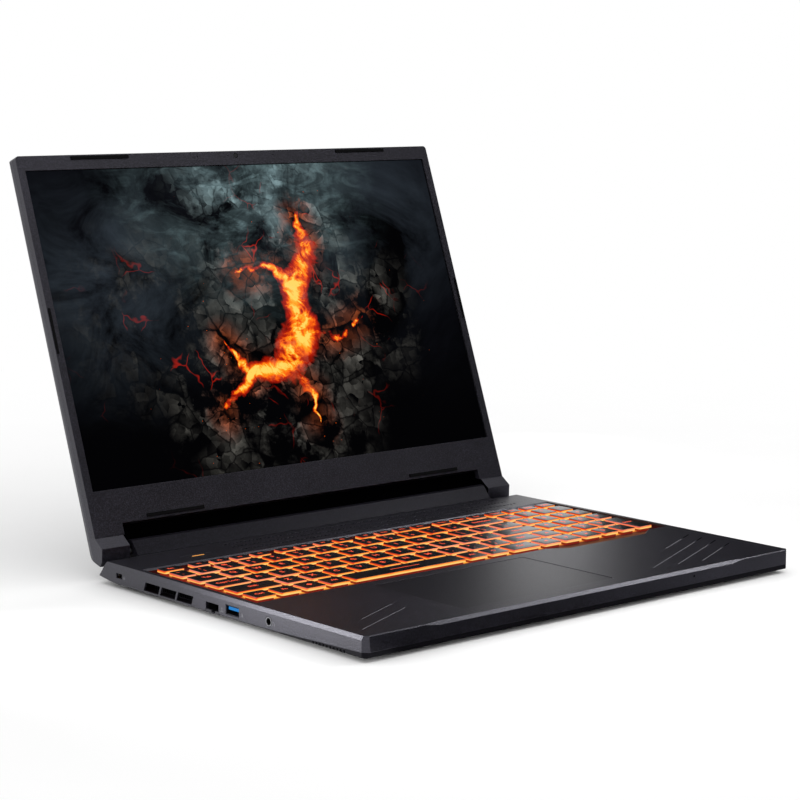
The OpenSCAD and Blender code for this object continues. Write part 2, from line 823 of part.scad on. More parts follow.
// The steel brackets under the deck, with the barrels that the pins turn in
module hinge_brackets() color("#7d8084") in_base() {
    t = 1.4;
    low = -block_drop - skin - 0.2;
    both_sides() difference() {
        union() {
            side_prism([
                [deck_d - 16, -skin], [deck_d - 16, -skin - t], [block_y0 - wall - 0.2 - t, -skin - t],
                [block_y0 - wall - 0.2 - t, low - t], [axis_y + 1, low - t], [axis_y + 1, axis_z],
                [axis_y - 1, axis_z], [axis_y - 1, low],
                [block_y0 - wall - 0.2, low], [block_y0 - wall - 0.2, -skin]
            ], block_half - 20.5, block_half - 4.5);
            x_rod(pin_r + 1.5, block_half - 21, block_half - 4, axis_y, axis_z);
        }
        x_rod(pin_r + pin_fit, block_half - 25, block_half, axis_y, axis_z);
    }
}

// The pins and arms that carry the lid
module hinge_arms() color("#84878b") in_lid() {
    x0 = lug_half + 1.8;
    x1 = hl - 6.6;
    both_sides() {
        x_rod(pin_r, block_half - 23.5, x0 + 1, 0, 0);
        x_rod(knuckle_r, x0, x1, 0, 0);
        box([x0, 0, -1.8], [x1, 5.8, 1.8]);
        difference() {
            box([x0, 4.4, -1.8], [x1, 5.8, 62]);
            for (z = [24, 54])
                translate([(x0 + x1) / 2, 7, z]) rotate([90, 0, 0]) cylinder(r = 1.2, h = 4);
        }
    }
}

// ---------------------------------------------------------------- lid

// The lid seen from the front, with round top corners
module lid_front(grow = 0) {
    r = 2.5;
    translate([-hl - grow, -far]) square([lid_w + 2 * grow, lid_len + far - r]);
    translate([-hl + r, -far]) square([lid_w - 2 * r, lid_len + far]);
    for (x = [-hl + r, hl - r])
        translate([x, lid_len - r]) circle(r);
}

module in_lid_front() {
    translate([0, 30, 0]) rotate([90, 0, 0]) linear_extrude(60) lid_front();
}

// Side view of a lug, which drops behind the base when the lid is shut
lug_side = [
    [rim_y + clear, 24], [rim_y + clear, 12.95], [bez_y, 11.25], [-5.8, 3.4], [-2.7, -4.3], [0.6, -7],
    [9.8, -0.3], [back_y(2.5), 2.5], [back_y(24), 24]
];

module lid_back_cover() color("#36363a") in_lid() {
    in_top = lid_len - lid_skin;
    difference() {
        intersection() {
            union() {
                // The back, down to the skirt behind the hinge bar
                side_prism([
                    [rim_y + clear, chin_foot], [rim_y + clear, lid_len],
                    [back_y(lid_len) - lid_cut, lid_len],
                    [back_y(lid_len - lid_cut), lid_len - lid_cut], [back_y(3.5), 3.5],
                    [back_y(3.5) - lid_skin, 3.5], [back_y(chin_foot) - lid_skin, chin_foot]
                ], -hl, hl);
                both_sides() side_prism(lug_side, lug_half, hl);
            }
            in_lid_front();
            // Chamfers along the side edges of the back
            translate([0, 0, -far]) linear_extrude(lid_len + 2 * far) polygon([
                [-hl, -far], [hl, -far], [hl, back_y(lid_len) - lid_cut], [hl - lid_cut, 12],
                [-hl + lid_cut, 12], [-hl, back_y(lid_len) - lid_cut]
            ]);
        }
        // The hollow behind the display
        side_prism([
            [-far, chin_foot + lid_skin], [-far, in_top], [back_y(in_top) - lid_skin, in_top],
            [back_y(chin_foot + lid_skin) - lid_skin, chin_foot + lid_skin]
        ], -hl + lid_skin, hl - lid_skin);
        // The hollow of each lug, round the hinge arm
        both_sides() {
            box([lug_half + 1.2, -0.2, -2.2], [hl - lid_skin, 6.2, chin_foot + 3]);
            x_rod(knuckle_r + 0.2, lug_half + 1.2, hl - lid_skin, 0, 0);
            x_rod(pin_r + 0.3, lug_half - 1, lug_half + 2, 0, 0);
        }
    }
}

module screen_bezel() color("#242427") in_lid() {
    difference() {
        intersection() {
            union() {
                box([-hl, bez_y, chin_foot], [hl, rim_y, lid_len]);
                both_sides() side_prism([
                    [bez_y, 11.35], [rim_y, 13.05], [rim_y, 24], [bez_y, 24]
                ], lug_half - 1.2, hl);
            }
            in_lid_front();
        }
        // The window
        box([-disp_w / 2, bez_y - 1, disp_z0], [disp_w / 2, rim_y + 1, disp_z1]);
        // The pocket for the panel
        box([-hl + 2.8, bez_y + 1.2, chin_foot + lid_skin], [hl - 2.8, rim_y + 1, lid_len - lid_skin]);
        // The camera, its lamp and the microphones
        translate([0, 5, lid_len - 3.4]) rotate([90, 0, 0]) cylinder(r = 1.9, h = 10);
        for (x = [-33, -6.9, 33])
            translate([x, 5, lid_len - 3.6]) rotate([90, 0, 0]) cylinder(r = 0.45, h = 10);
    }
}

module lcd_panel() color("#0b0c10") in_lid() {
    box([-disp_w / 2 - 2.2, bez_y + 1.3, disp_z0 - 5], [disp_w / 2 + 2.2, rim_y + 0.2, disp_z1 + 2]);
}

module bumper(x0, x1, z0, z1) {
    box([x0, bez_y - 0.7, z0], [x1, bez_y, z1]);
}

module bezel_bumpers() color("#0d0d0e") in_lid() {
    both_sides() {
        bumper(90.5, 136.2, lid_len - 3.3, lid_len - 1.1);
        bumper(90.5, 136.2, chin_foot + 1.6, chin_foot + 3.8);
        bumper(hl - 2.2, hl - 0.7, lid_len / 2, lid_len / 2 + 30.5);
    }
}

module webcam_module() color("#1a3a26") in_lid() {
    box([-36, bez_y + 1.5, lid_len - 7.3], [36, bez_y + 2.6, lid_len - 2]);
    translate([0, bez_y + 1.5, lid_len - 3.9]) rotate([90, 0, 0]) cylinder(r = 1.2, h = 0.6);
    box([-4, bez_y + 2.6, lid_len - 7.2], [4, rim_y + 1, lid_len - 2.1]);
}

module webcam_lens() color("#05060a") in_lid() {
    translate([0, bez_y + 0.8, lid_len - 3.4]) rotate([90, 0, 0]) cylinder(r = 1.6, h = 0.7);
}

module antennas() color("#b08a50") in_lid() {
    y1 = back_y(lid_len) - lid_skin - seat;
    both_sides() box([60, y1 - 0.6, lid_len - 8.5], [112, y1, lid_len - 2.5]);
}

module display_cable() color("#1c1c1c") in_lid() {
    y = bez_y + 2.6;
    z = disp_z0 - 12;
    x_rod(0.9, -128, -40, y, z);
    translate([-40, y, z]) sphere(r = 0.9);
    translate([-40, y, z]) cylinder(r = 0.9, h = 6.8);
    box([-50, y - 0.8, z + 4.2], [-30, y + 0.8, z + 6.9]);
}

// ---------------------------------------------------------------- sockets

module usb_shell(y) {
    difference() {
        box([-hw + 0.4, y - usb_w / 2, usb_z - usb_h / 2],
            [-hw + 0.4 + usb_depth, y + usb_w / 2, usb_z + usb_h / 2]);
        box([-hw, y - usb_w / 2 + usb_skin, usb_z - usb_h / 2 + usb_skin],
            [-hw + usb_depth - 0.6, y + usb_w / 2 - usb_skin, usb_z + usb_h / 2 - usb_skin]);
    }
}

module usb_shells() color("#a9abad") in_base() {
    usb_shell(usb_y);
    mirror([1, 0, 0]) for (y = right_usb_y)
        usb_shell(y);
}

module usb_tongue(y) {
    box([-hw + 1.4, y - 5.3, usb_z - 0.1], [-hw + usb_depth - 0.7, y + 5.3, usb_z + 1.8]);
}

module usb_tongues() color("#1f7fd0") in_base() {
    usb_tongue(usb_y);
    mirror([1, 0, 0]) for (y = right_usb_y)
        usb_tongue(y);
}

module audio_jack() color("#141415") in_base() {
    x1 = -hw + jack_len + 1.5;
    difference() {
        union() {
            x_rod(jack_nose, -hw - 0.1, -hw + wall + 0.4, jack_y, jack_z);
            box([-hw + wall + 0.2, jack_y - jack_body / 2, jack_z - jack_body / 2],
                [x1, jack_y + jack_body / 2, jack_z + jack_body / 2]);
        }
        x_rod(jack_r, -hw - 1, -hw - 0.1 + jack_len, jack_y, jack_z);
    }
}

module rj45_socket() color("#18181a") in_base() {
    x0 = -hw + wall + 0.1;
    x1 = -hw + lan_depth + 2;
    outer = lan_w / 2 + 0.7;
    difference() {
        box([x0, lan_y - outer, -base_h + 0.2], [x1, lan_y + outer, lan_top + 0.4]);
        box([x0 - 1, lan_y - lan_w / 2, -base_h - 1], [x1 - 4, lan_y + lan_w / 2, lan_top]);
        box([jaw_pivot_x + 1.4, lan_y - 10, -base_h - 1], [x1 + 1, lan_y + 10, floor_z + seat]);
        translate([jaw_pivot_x, lan_y + 10, jaw_pivot_z])
            rotate([90, 0, 0]) cylinder(r = jaw_pin_r + seat, h = 20);
    }
}

module rj45_jaw() color("#3a3a3d") in_base() {
    body = lan_w - 0.6;
    low = -base_h + 0.1;
    difference() {
        union() {
            box([-hw + 0.1, lan_y - jaw_w / 2, low], [-hw + wall - 0.1, lan_y + jaw_w / 2, lan_sill - 0.1]);
            box([-hw + 0.5, lan_y - body / 2, low], [jaw_pivot_x, lan_y + body / 2, low + jaw_floor]);
            translate([jaw_pivot_x, lan_y + body / 2, jaw_pivot_z])
                rotate([90, 0, 0]) cylinder(r = jaw_knuckle_r, h = body);
        }
        box([-hw - 1, lan_y - 2.9, low + 0.5], [-hw + wall + 1, lan_y + 1.1, 0]);
    }
    translate([jaw_pivot_x, lan_y + lan_w / 2 + 0.5, jaw_pivot_z])
        rotate([90, 0, 0]) cylinder(r = jaw_pin_r, h = lan_w + 1);
}

module lock_slot_plate() color("#8f9194") in_base() {
    x0 = -hw + wall + 0.1;
    difference() {
        box([x0, lock_y - 7, lock_z - 3.4], [x0 + 1, lock_y + 7, lock_z + 3.4]);
        box([x0 - 1, lock_y - lock_w / 2, lock_z - lock_h / 2],
            [x0 + 2, lock_y + lock_w / 2, lock_z + lock_h / 2]);
    }
}

// The power button, flush with the deck, with a slit for its light
module power_button() color("#3a3a3d") in_base() {
    difference() {
        union() {
            translate([power_x + pad_gap, power_y + pad_gap, -skin]) linear_extrude(skin - 0.05)
                round_rect(power_w - 2 * pad_gap, power_d - 2 * pad_gap, 1.2);
            box([power_x + 2, power_y + 2, -skin - 0.6],
                [power_x + power_w - 2, power_y + power_d - 2, -skin]);
        }
        translate([power_x + (power_w - light_w) / 2, power_y + (power_d - light_d) / 2, -skin - 1])
            cube([light_w, light_d, skin + 2]);
    }
}

module power_light() color("#ff9a3a") in_base() {
    corner = [(power_w - light_w + seat) / 2, (power_d - light_d + seat) / 2];
    translate([power_x + corner.x, power_y + corner.y, -skin - 0.6])
        cube([light_w - seat, light_d - seat, skin + 0.55]);
}

// A thin metal box that opens to the rear
module rear_shell(x, w, h, depth) {
    y1 = block_y1 - 0.5;
    t = rear_shell_t;
    difference() {
        box([x - w / 2, y1 - depth, rear_port_z - h / 2], [x + w / 2, y1, rear_port_z + h / 2]);
        box([x - w / 2 + t, y1 - depth + 0.6, rear_port_z - h / 2 + t],
            [x + w / 2 - t, y1 + 1, rear_port_z + h / 2 - t]);
    }
}

// The blade inside such a box, from its end wall
module rear_tongue(x, w, z0, z1, depth) {
    box([x - w / 2, block_y1 - depth - 0.4, rear_port_z + z0], [x + w / 2, block_y1 - 1.6, rear_port_z + z1]);
}

module rear_ports() color("#9a9c9f") in_base() {
    rear_shell(hdmi_x, hdmi_w, hdmi_h, 12);
    rear_tongue(hdmi_x, hdmi_w - 3.8, -0.2, 0.8, 12);
    rear_shell(usbc_x, usbc_w, usbc_h, 9);
    rear_tongue(usbc_x, usbc_w - 2.2, -0.35, 0.35, 9);
}

module dc_inlet() color("#161617") in_base() {
    rear_shell(dc_x, dc_w, dc_h, 12);
    rear_tongue(dc_x, dc_w - 4, -0.6, 0.6, 12);
}

// ---------------------------------------------------------------- inside the base

module motherboard() color("#20402c") in_base() {
    difference() {
        union() {
            box([-board_x, palm_d + 2.4, board_foot], [board_x, vent_y - 4, board_top]);
            box([-board_x - 2.5, jack_y - 9, board_foot], [-board_x + 12, palm_d + 3, board_top]);
            box([-board_core, vent_y - 5, board_foot], [board_core, deck_d - 1, board_top]);
        }
        box([-hw, jack_y - jack_body / 2 - 0.2, board_foot - 1],
            [-hw + jack_len + 1.7, jack_y + jack_body / 2 + 0.2, 0]);
        for (p = board_holes)
            translate([p.x, p.y, board_foot - 1]) cylinder(r = board_hole_r, h = board_t + 2);
    }
}

module processors() color("#555a60") in_base() {
    for (span = chip_spans)
        box([span[0], chip_y0, board_foot - chip_t], [span[1], chip_y1, board_foot]);
}

module cold_plates() color("#b87333") in_base() {
    top = board_foot - chip_t;
    for (i = [0, 1]) {
        span = chip_spans[i];
        box([span[0] - plate_side, chip_y0 - plate_front[i], top - plate_t],
            [span[1] + plate_side, chip_y1 + plate_back, top]);
    }
}

// A flattened pipe of even width along a list of [x, y] points
function unit_of(v) = v / norm(v);
function turn_left(v) = [-v.y, v.x];
function side_of(a, b) = turn_left(unit_of(b - a));
function offset_at(points, i) =
    i == 0 ? side_of(points[0], points[1]) :
    i == len(points) - 1 ? side_of(points[i - 1], points[i]) :
    let (n1 = side_of(points[i - 1], points[i]), n2 = side_of(points[i], points[i + 1]))
    (n1 + n2) / (1 + n1 * n2);
function along(points, d) = [for (i = [0:len(points) - 1]) points[i] + d * offset_at(points, i)];
function reversed(v) = [for (i = [1:len(v)]) v[len(v) - i]];

module flat_pipe(points) {
    translate([0, 0, pipe_z - pipe_t])
        linear_extrude(pipe_t)
            polygon(concat(along(points, pipe_w / 2), reversed(along(points, -pipe_w / 2))));
}

module heat_pipes() color("#c67b3c") in_base() {
    rear = deck_d - 8;
    flat_pipe([[-fan_x - 10, rear], [44 - fan_x, rear], [52 - fan_x, deck_d - 56], [60, deck_d - 56]]);
    flat_pipe([[fan_x + 10, rear], [fan_x - 44, rear], [fan_x - 51, deck_d - 63], [-58, deck_d - 63]]);
}

// A comb of thin plates on a base plate, from x0 to x1
module fin_comb_x(x0, x1, y0, y1, z0, z1) {
    box([x0, y0, z0], [x1, y1, z0 + fin_base]);
    for (x = [x0:fin_pitch:x1 - fin_t])
        box([x, y0, z0], [x + fin_t, y1, z1]);
}

// The same comb turned to blow out of a side, from y0 to y1
module fin_comb_y(x0, x1, y0, y1, z0, z1) {
    box([x0, y0, z0], [x1, y1, z0 + fin_base]);
    for (y = [y0:fin_pitch:y1 - fin_t])
        box([x0, y, z0], [x1, y + fin_t, z1]);
}

module fin_stacks() color("#9c8068") in_base() {
    low = pipe_z + seat;
    both_sides() {
        fin_comb_x(rear_vent_x0, rear_vent_x0 + fin_len, deck_d - 13, deck_d - 1.5, low, -skin - 2.6);
        fin_comb_y(hw - 18, hw - 6, vent_y + 1, vent_y + 50, floor_z + 0.2, vent_top + 0.5);
    }
}

// A flat box with a round hollow for the rotor and open sides for the air
module fan_case_at(x) {
    low = fan_top - fan_h;
    difference() {
        translate([x - fan_case / 2, fan_y - fan_case / 2, low]) cube([fan_case, fan_case, fan_h]);
        translate([x, fan_y, low + fan_wall]) cylinder(r = fan_r + 1.5, h = fan_h - 2 * fan_wall);
        translate([x, fan_y, low - 1]) cylinder(r = fan_eye_r, h = fan_h + 2);
    }
    // The spoke that carries the motor's axle
    translate([x - fan_eye_r - 2, fan_y - spoke_w / 2, fan_top - fan_wall])
        cube([2 * fan_eye_r + 4, spoke_w, fan_wall]);
    translate([x, fan_y, low + 1]) cylinder(r = axle_r, h = fan_h - 1.2);
}

module fan_housings() color("#202124") in_base() {
    fan_case_at(-fan_x);
    fan_case_at(fan_x);
}

// The rotor: a hub and curved blades on the housing's axle
module fan_rotor(x) {
    low = fan_top - fan_h + 1.2;
    h = fan_h - 2.6;
    translate([x, fan_y, low]) difference() {
        union() {
            cylinder(r = hub_r, h = h);
            for (i = [0:fan_blades - 1])
                rotate((i + 0.5) * 360 / fan_blades)
                    translate([hub_r - 1.5, 0, 0.3]) rotate(blade_lean) translate([0, -blade_t / 2, 0])
                        cube([fan_r - hub_r + 0.6, blade_t, h - 0.6]);
        }
        translate([0, 0, -1]) cylinder(r = axle_r + 0.08, h = h + 2);
    }
}

module battery_pack() color("#1d1d20") in_base() {
    low = floor_z + 0.2;
    for (i = [-1:1])
        box([i * (cell_w + cell_gap) - cell_w / 2, cells_y0, low],
            [i * (cell_w + cell_gap) + cell_w / 2, cells_y1, board_top - 0.3]);
    // The cable's channel behind the cells, and the rail in front of them
    box([-pack_end, cells_y1, low], [-40, cells_y1 + 1, board_top - 0.3]);
    box([-pack_end, cells_y0 - 0.8, low], [pack_end, cells_y0, low + 2.8]);
}

module ssd_module() color("#143a22") in_base() {
    box([ssd_x0, card_y0, board_foot - 3], [ssd_x1, card_y1, board_foot - 2.2]);
    // Its socket, and the chips below it
    box([ssd_x1 - 4, card_y0, board_foot - 3.6], [ssd_x1 + 2, card_y1, board_foot]);
    for (i = [0:2])
        box([ssd_x0 + 6 + i * 22, card_y0 + 3, board_foot - 4.2],
            [ssd_x0 + 24 + i * 22, card_y1 - 3, board_foot - 3]);
}

module memory_modules() color("#17402a") in_base() {
    for (i = [0:1])
        translate([0, palm_d + i * memory_pitch, board_foot]) {
            box([-memory_w / 2, 6, -3.4], [memory_w / 2, 34, -2.4]);
            // Its socket, and the chips below it
            box([-memory_w / 2 - 1.2, 32, -4.4], [memory_w / 2 + 1.2, 38, 0]);
            for (x = [-30, -12, 6, 22])
                box([x, 10, -4.4], [x + 9, 24, -3.4]);
        }
}

module wifi_card() color("#1c4a30") in_base() {
    box([wifi_x0, card_y0, board_foot - 2.2], [wifi_x1, card_y1, board_foot - 1.4]);
    box([wifi_x0 - 3, card_y0, board_foot - 2.8], [wifi_x0 + 2, card_y1, board_foot]);
}

// A sound chamber with a slot beside the slots in the bottom cover
module speakers() color("#1a1a1c") in_base() {
    both_sides() difference() {
        box([-hw + chamber_in, speaker_slot_y - 3, floor_z + 0.2], [-chamber_x, 72, -6]);
        box([-hw + chamber_in + 1, speaker_slot_y - 2, floor_z - 1],
            [-hw + chamber_in + 8, 50, floor_z + 2.4]);
    }
}

module ribbon_cables() color("#c9c9c4") in_base() {
    z0 = board_top + 0.1;
    box([-44, 60, z0], [-24, palm_d + 10, z0 + ribbon_t]);
    box([0, palm_d + 3, z0], [22, palm_d + 20, z0 + ribbon_t]);
}

top_case();
bottom_cover();
rubber_feet();
bottom_screws();
keyboard_tray();
key_supports();
hinge_cover_bar();
hinge_brackets();
motherboard();
processors();
cold_plates();
heat_pipes();
fin_stacks();
fan_housings();
color("#2c2d30") in_base() fan_rotor(-fan_x);  // fan_rotor_left
color("#2c2d30") in_base() fan_rotor(fan_x);  // fan_rotor_right
battery_pack();
ssd_module();
memory_modules();
wifi_card();
speakers();
ribbon_cables();
touchpad_bracket();
touchpad();
rj45_socket();
rj45_jaw();
usb_shells();
usb_tongues();
audio_jack();
rear_ports();
dc_inlet();
lock_slot_plate();
power_button();
power_light();
lid_back_cover();
screen_bezel();
lcd_panel();
bezel_bumpers();
webcam_module();
webcam_lens();
hinge_arms();
antennas();
display_cable();
key_caps(function_keys);  // keys_function
key_caps(navigation_keys);  // keys_navigation
key_caps(slice(digit_keys, 0, 12));  // keys_digits
key_caps([digit_keys[13]]);  // key_backspace
key_caps([upper_keys[0]]);  // key_tab
key_caps(slice(upper_keys, 1, 13));  // keys_letters_upper
key_caps([home_keys[0]]);  // key_caps_lock
key_caps(slice(home_keys, 1, 11));  // keys_letters_home
key_caps([home_keys[12]]);  // key_enter
key_caps([lower_keys[0]]);  // key_shift_left
key_caps(slice(lower_keys, 1, 10));  // keys_letters_lower
key_caps([lower_keys[11]]);  // key_shift_right
key_caps(modifier_keys);  // keys_modifiers
key_caps([front_keys[4]]);  // key_space
key_caps(arrow_keys);  // keys_arrows
key_caps(number_keys);  // keys_numpad
key_caps([number_enter]);  // key_numpad_enter
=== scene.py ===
"""Finish of an open notebook computer: its key caps, legends, lit marks, screen picture, materials and stage."""

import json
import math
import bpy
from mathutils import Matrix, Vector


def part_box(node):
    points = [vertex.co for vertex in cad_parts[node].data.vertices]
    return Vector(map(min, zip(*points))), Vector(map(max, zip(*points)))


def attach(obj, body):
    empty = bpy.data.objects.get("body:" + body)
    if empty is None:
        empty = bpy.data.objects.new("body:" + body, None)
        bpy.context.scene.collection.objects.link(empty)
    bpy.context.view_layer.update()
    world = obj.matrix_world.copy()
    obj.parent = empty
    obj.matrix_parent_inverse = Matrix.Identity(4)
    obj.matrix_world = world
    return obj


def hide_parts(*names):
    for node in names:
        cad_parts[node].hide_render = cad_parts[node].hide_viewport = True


bl_info = {
    "name": "Notebook Computer",
    "version": (1, 0, 0),
    "blender": (4, 5, 0),
    "location": "3D Viewport > Sidebar > Notebook",
    "description": "Dresses a notebook computer with lit keys, printed marks, a screen picture and moulded finishes",
    "category": "Add Mesh",
}

import bpy
import numpy as np
from bpy.props import FloatProperty, FloatVectorProperty, IntProperty, PointerProperty
from mathutils import Vector

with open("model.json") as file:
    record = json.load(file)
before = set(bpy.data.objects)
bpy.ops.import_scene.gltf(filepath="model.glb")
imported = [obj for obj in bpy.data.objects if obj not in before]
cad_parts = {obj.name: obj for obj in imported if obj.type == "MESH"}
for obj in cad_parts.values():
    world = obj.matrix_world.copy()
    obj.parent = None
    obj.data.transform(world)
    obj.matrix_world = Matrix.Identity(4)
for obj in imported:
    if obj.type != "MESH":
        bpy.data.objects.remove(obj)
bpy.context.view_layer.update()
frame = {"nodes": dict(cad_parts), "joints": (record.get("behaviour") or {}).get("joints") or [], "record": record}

MM = 0.001

# The base's own corner of the frame: its deck's front edge and flat top, in millimetres
SHELL_LOW, SHELL_HIGH = (np.array(v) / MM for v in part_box("top_case"))
# How far the front wall's foot stands out past the deck's front edge
FRONT_LIP = 0.8
DECK_ORIGIN = np.array([0.0, SHELL_LOW[1] + FRONT_LIP, SHELL_HIGH[2]])
HALF_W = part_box("bottom_cover")[1].x / MM
# The front wall's outer face at the deck's height, and how far it leans back for each millimetre up
FRONT_WALL, FRONT_LEAN = -0.483, 0.0333

# The lid's own frame: the hinge axis, with z up along the leaning lid
HINGE = next(j for j in frame["joints"] if j["name"] == "lid_hinge")
AXIS = np.array(HINGE["pos_m"]) / MM
LEAN = math.radians(-HINGE["range_deg"][0] - 90)
# The panel's glass in the lid's frame: its y, and the corners of its lit window as x, z
GLASS_Y = 0.94
WINDOW_LOW, WINDOW_HIGH = np.array([-172.4, 41.9]), np.array([172.4, 257.9])

# Middles of the sockets in the left wall, as distances from the deck's front edge
LOCK_Y, NETWORK_Y, USB_Y, AUDIO_Y = 242.6, 142.7, 122.5, 87.0
AUDIO_Z = -7.6


# ---------------------------------------------------------------- colours and properties


def linear(code):
    """Turns an sRGB hex code such as "#2a2b30" to linear red, green, blue and full alpha."""
    raw = [int(code[i : i + 2], 16) / 255 for i in (1, 3, 5)]
    return tuple(c / 12.92 if c <= 0.04045 else ((c + 0.055) / 1.055) ** 2.4 for c in raw) + (1.0,)


def scaled(tone, factor):
    """A linear colour made lighter or darker."""
    return tuple(min(1.0, c * factor) for c in tuple(tone)[:3]) + (1.0,)


def colour(name, text, code):
    """A colour property, linear inside, with its default from an sRGB hex code."""
    return FloatVectorProperty(name=name, description=text, subtype="COLOR", size=4, min=0, max=1, default=linear(code))


def length(name, text, value):
    """A length property in millimetres."""
    return FloatProperty(name=name, description=text, default=value, min=0.0, soft_max=400.0)


def strength(name, text, value, **settings):
    """A strength or power of light that can't be negative."""
    return FloatProperty(name=name, description=text, default=value, min=0.0, **settings)


class NotebookShell(bpy.types.PropertyGroup):
    """Sizes and colours of the moulded shells."""

    case: colour("Case", "Painted shell of the base and lid", "#0f0e13")
    cover: colour("Cover", "Black moulded bottom", "#0d0c10")
    sheen: colour("Sheen", "Tint of the paint's gloss", "#f0eeff")
    rubber: colour("Rubber", "Feet and bumpers", "#08080a")
    grain: length("Grain", "Size of the paint's grain in millimetres, drawn coarser than the real 0.1", 0.85)
    edge: length("Edge radius", "Softening of the moulded edges in millimetres", 0.45)


class NotebookKeys(bpy.types.PropertyGroup):
    """Sizes and colours of the keyboard."""

    height: length("Cap height", "Height of a cap in millimetres", 2.0)
    proud: length("Cap proud", "Height of the cap tops over the deck in millimetres", 0.3)
    lit: length("Lit skirt", "Height of the lit part of a cap's side in millimetres", 1.8)
    corner: IntProperty(name="Corner points", description="Points in each cap corner", default=4, min=2, max=8)
    cap: colour("Cap", "Black lacquer on the caps", "#101114")
    hot: colour("Glow, hot", "Backlight nearest its lamps", "#ffcf74")
    warm: colour("Glow, warm", "Backlight a little further away", "#ffa63a")
    deep: colour("Glow, deep", "Backlight higher up a cap's side", "#f8501c")
    dim: colour("Glow, dim", "Backlight at the edge of the lacquer", "#a82818")
    rose: colour("Glow, rose", "Backlight where two lamps' light mixes", "#f39a86")
    legend: colour("Legend", "Lit legends", "#ee5030")


class NotebookScreen(bpy.types.PropertyGroup):
    """Colours of the picture on the screen."""

    night: colour("Night", "Darkest part of the picture", "#010102")
    smoke: colour("Smoke", "Drifting smoke at the top", "#8aa6ab")
    gloom: colour("Gloom", "Faint smoke all over", "#14161c")
    haze: colour("Haze", "Thin smoke at both sides", "#343c44")
    rock: colour("Rock", "Broken stone", "#6a6862")
    ember: colour("Ember", "Edge of the glow", "#b01a04")
    flame: colour("Flame", "Middle of the glow", "#ff6208")
    core: colour("Core", "Hottest part of the glow", "#ffd860")
    level: strength("Brightness", "Strength of the screen's light", 1.0, max=4)


class NotebookMarks(bpy.types.PropertyGroup):
    """Sizes and colours of printed and pressed marks."""

    width: length("Line width", "Width of the palm-rest lines in millimetres", 0.36)
    pale: colour("Pale line", "Polished line in the paint", "#8b8b92")
    dark: colour("Dark line", "Pressed line in the paint", "#050506")
    icon: colour("Icon", "Printed signs beside the sockets", "#5c5c62")


class NotebookStage(bpy.types.PropertyGroup):
    """Camera and light."""

    lens: FloatProperty(name="Lens", description="Focal length of the camera", default=101.16, min=10, unit="CAMERA")
    world: strength("Fill", "Strength of the even light", 1.0, max=4)
    front: strength("Front light", "Power of the strip over the front edge", 0.12, unit="POWER")
    side: strength("Side light", "Power of the box at the left", 0.09, unit="POWER")
    rear: strength("Rear light", "Power of the small box behind the lid's edge", 0.044, unit="POWER")
    floor: colour("Floor", "Pale studio floor", "#ffffff")


# ---------------------------------------------------------------- places


def base(points):
    """Millimetre points from the deck's front edge and top, as frame metres."""
    return (np.asarray(points, dtype=np.float64) + DECK_ORIGIN) * MM


def lid(points):
    """Millimetre points from the hinge axis with z up along the lid, turned back by the lean, as frame metres."""
    p = np.asarray(points, dtype=np.float64)
    c, s = math.cos(LEAN), math.sin(LEAN)
    turned = np.stack([p[..., 0], c * p[..., 1] + s * p[..., 2], c * p[..., 2] - s * p[..., 1]], axis=-1)
    return (turned + AXIS) * MM


# ---------------------------------------------------------------- surfaces


def grid_faces(rows, cols, closed=True):
    """Quads of a grid of rows by cols points: each joins a point, its neighbour along the row and the two above."""
    r, c = np.meshgrid(np.arange(rows - 1), np.arange(cols if closed else cols - 1), indexing="ij")
    n = (c + 1) % cols
    return np.stack([r * cols + c, r * cols + n, (r + 1) * cols + n, (r + 1) * cols + c], axis=-1).reshape(-1, 4)


def round_outline(w, d, radius, per_corner):
    """A rectangle with quarter circles at its corners, anticlockwise, as points about its middle."""
    turn = np.linspace(0, math.pi / 2, per_corner)
    centre = np.array([[1, 1], [-1, 1], [-1, -1], [1, -1]]) * (np.array([w, d]) / 2 - radius)
    angle = (np.arange(4)[:, None] * math.pi / 2 + turn[None, :]).ravel()
    return np.repeat(centre, per_corner, axis=0) + radius * np.stack([np.cos(angle), np.sin(angle)], axis=-1)


def stacked_outlines(size, radius, per_corner, profile):
    """Rings of a round rectangle, each drawn in by the profile's first value and lifted to its second."""
    rings = []
    for inset, z in profile:
        ring = round_outline(size[0] - 2 * inset, size[1] - 2 * inset, max(radius - inset, 0.15), per_corner)
        rings.append(np.column_stack([ring, np.full(len(ring), z)]))
    return np.stack(rings)


def capped_rings(rings):
    """Points, quads and end fans of a closed skin: the rings in order, with a pole in the middle of each end."""
    rows, cols = rings.shape[:2]
    poles = np.stack([rings[0].mean(0), rings[-1].mean(0)])
    points = np.concatenate([rings.reshape(-1, 3), poles])
    quads = grid_faces(rows, cols)
    k = np.arange(cols)
    n = (k + 1) % cols
    last = (rows - 1) * cols
    low = np.stack([n, k, np.full(cols, rows * cols)], axis=-1)
    high = np.stack([last + k, last + n, np.full(cols, rows * cols + 1)], axis=-1)
    return points, quads.tolist() + low.tolist() + high.tolist()


def upright_plate(outline, low, high):
    """A flat outline of x, y points carried straight up from low to high, with both ends closed."""
    outline = np.asarray(outline, dtype=np.float64)
    n = len(outline)
    points = np.concatenate([np.column_stack([outline, np.full(n, z)]) for z in (low, high)])
    return points, grid_faces(2, n).tolist() + [list(range(n))[::-1], list(range(n, 2 * n))]


def block(low, high):
    """Points and faces of a box between two corners."""
    (x0, y0, z0), (x1, y1, z1) = low, high
    return upright_plate([[x0, y0], [x1, y0], [x1, y1], [x0, y1]], z0, z1)


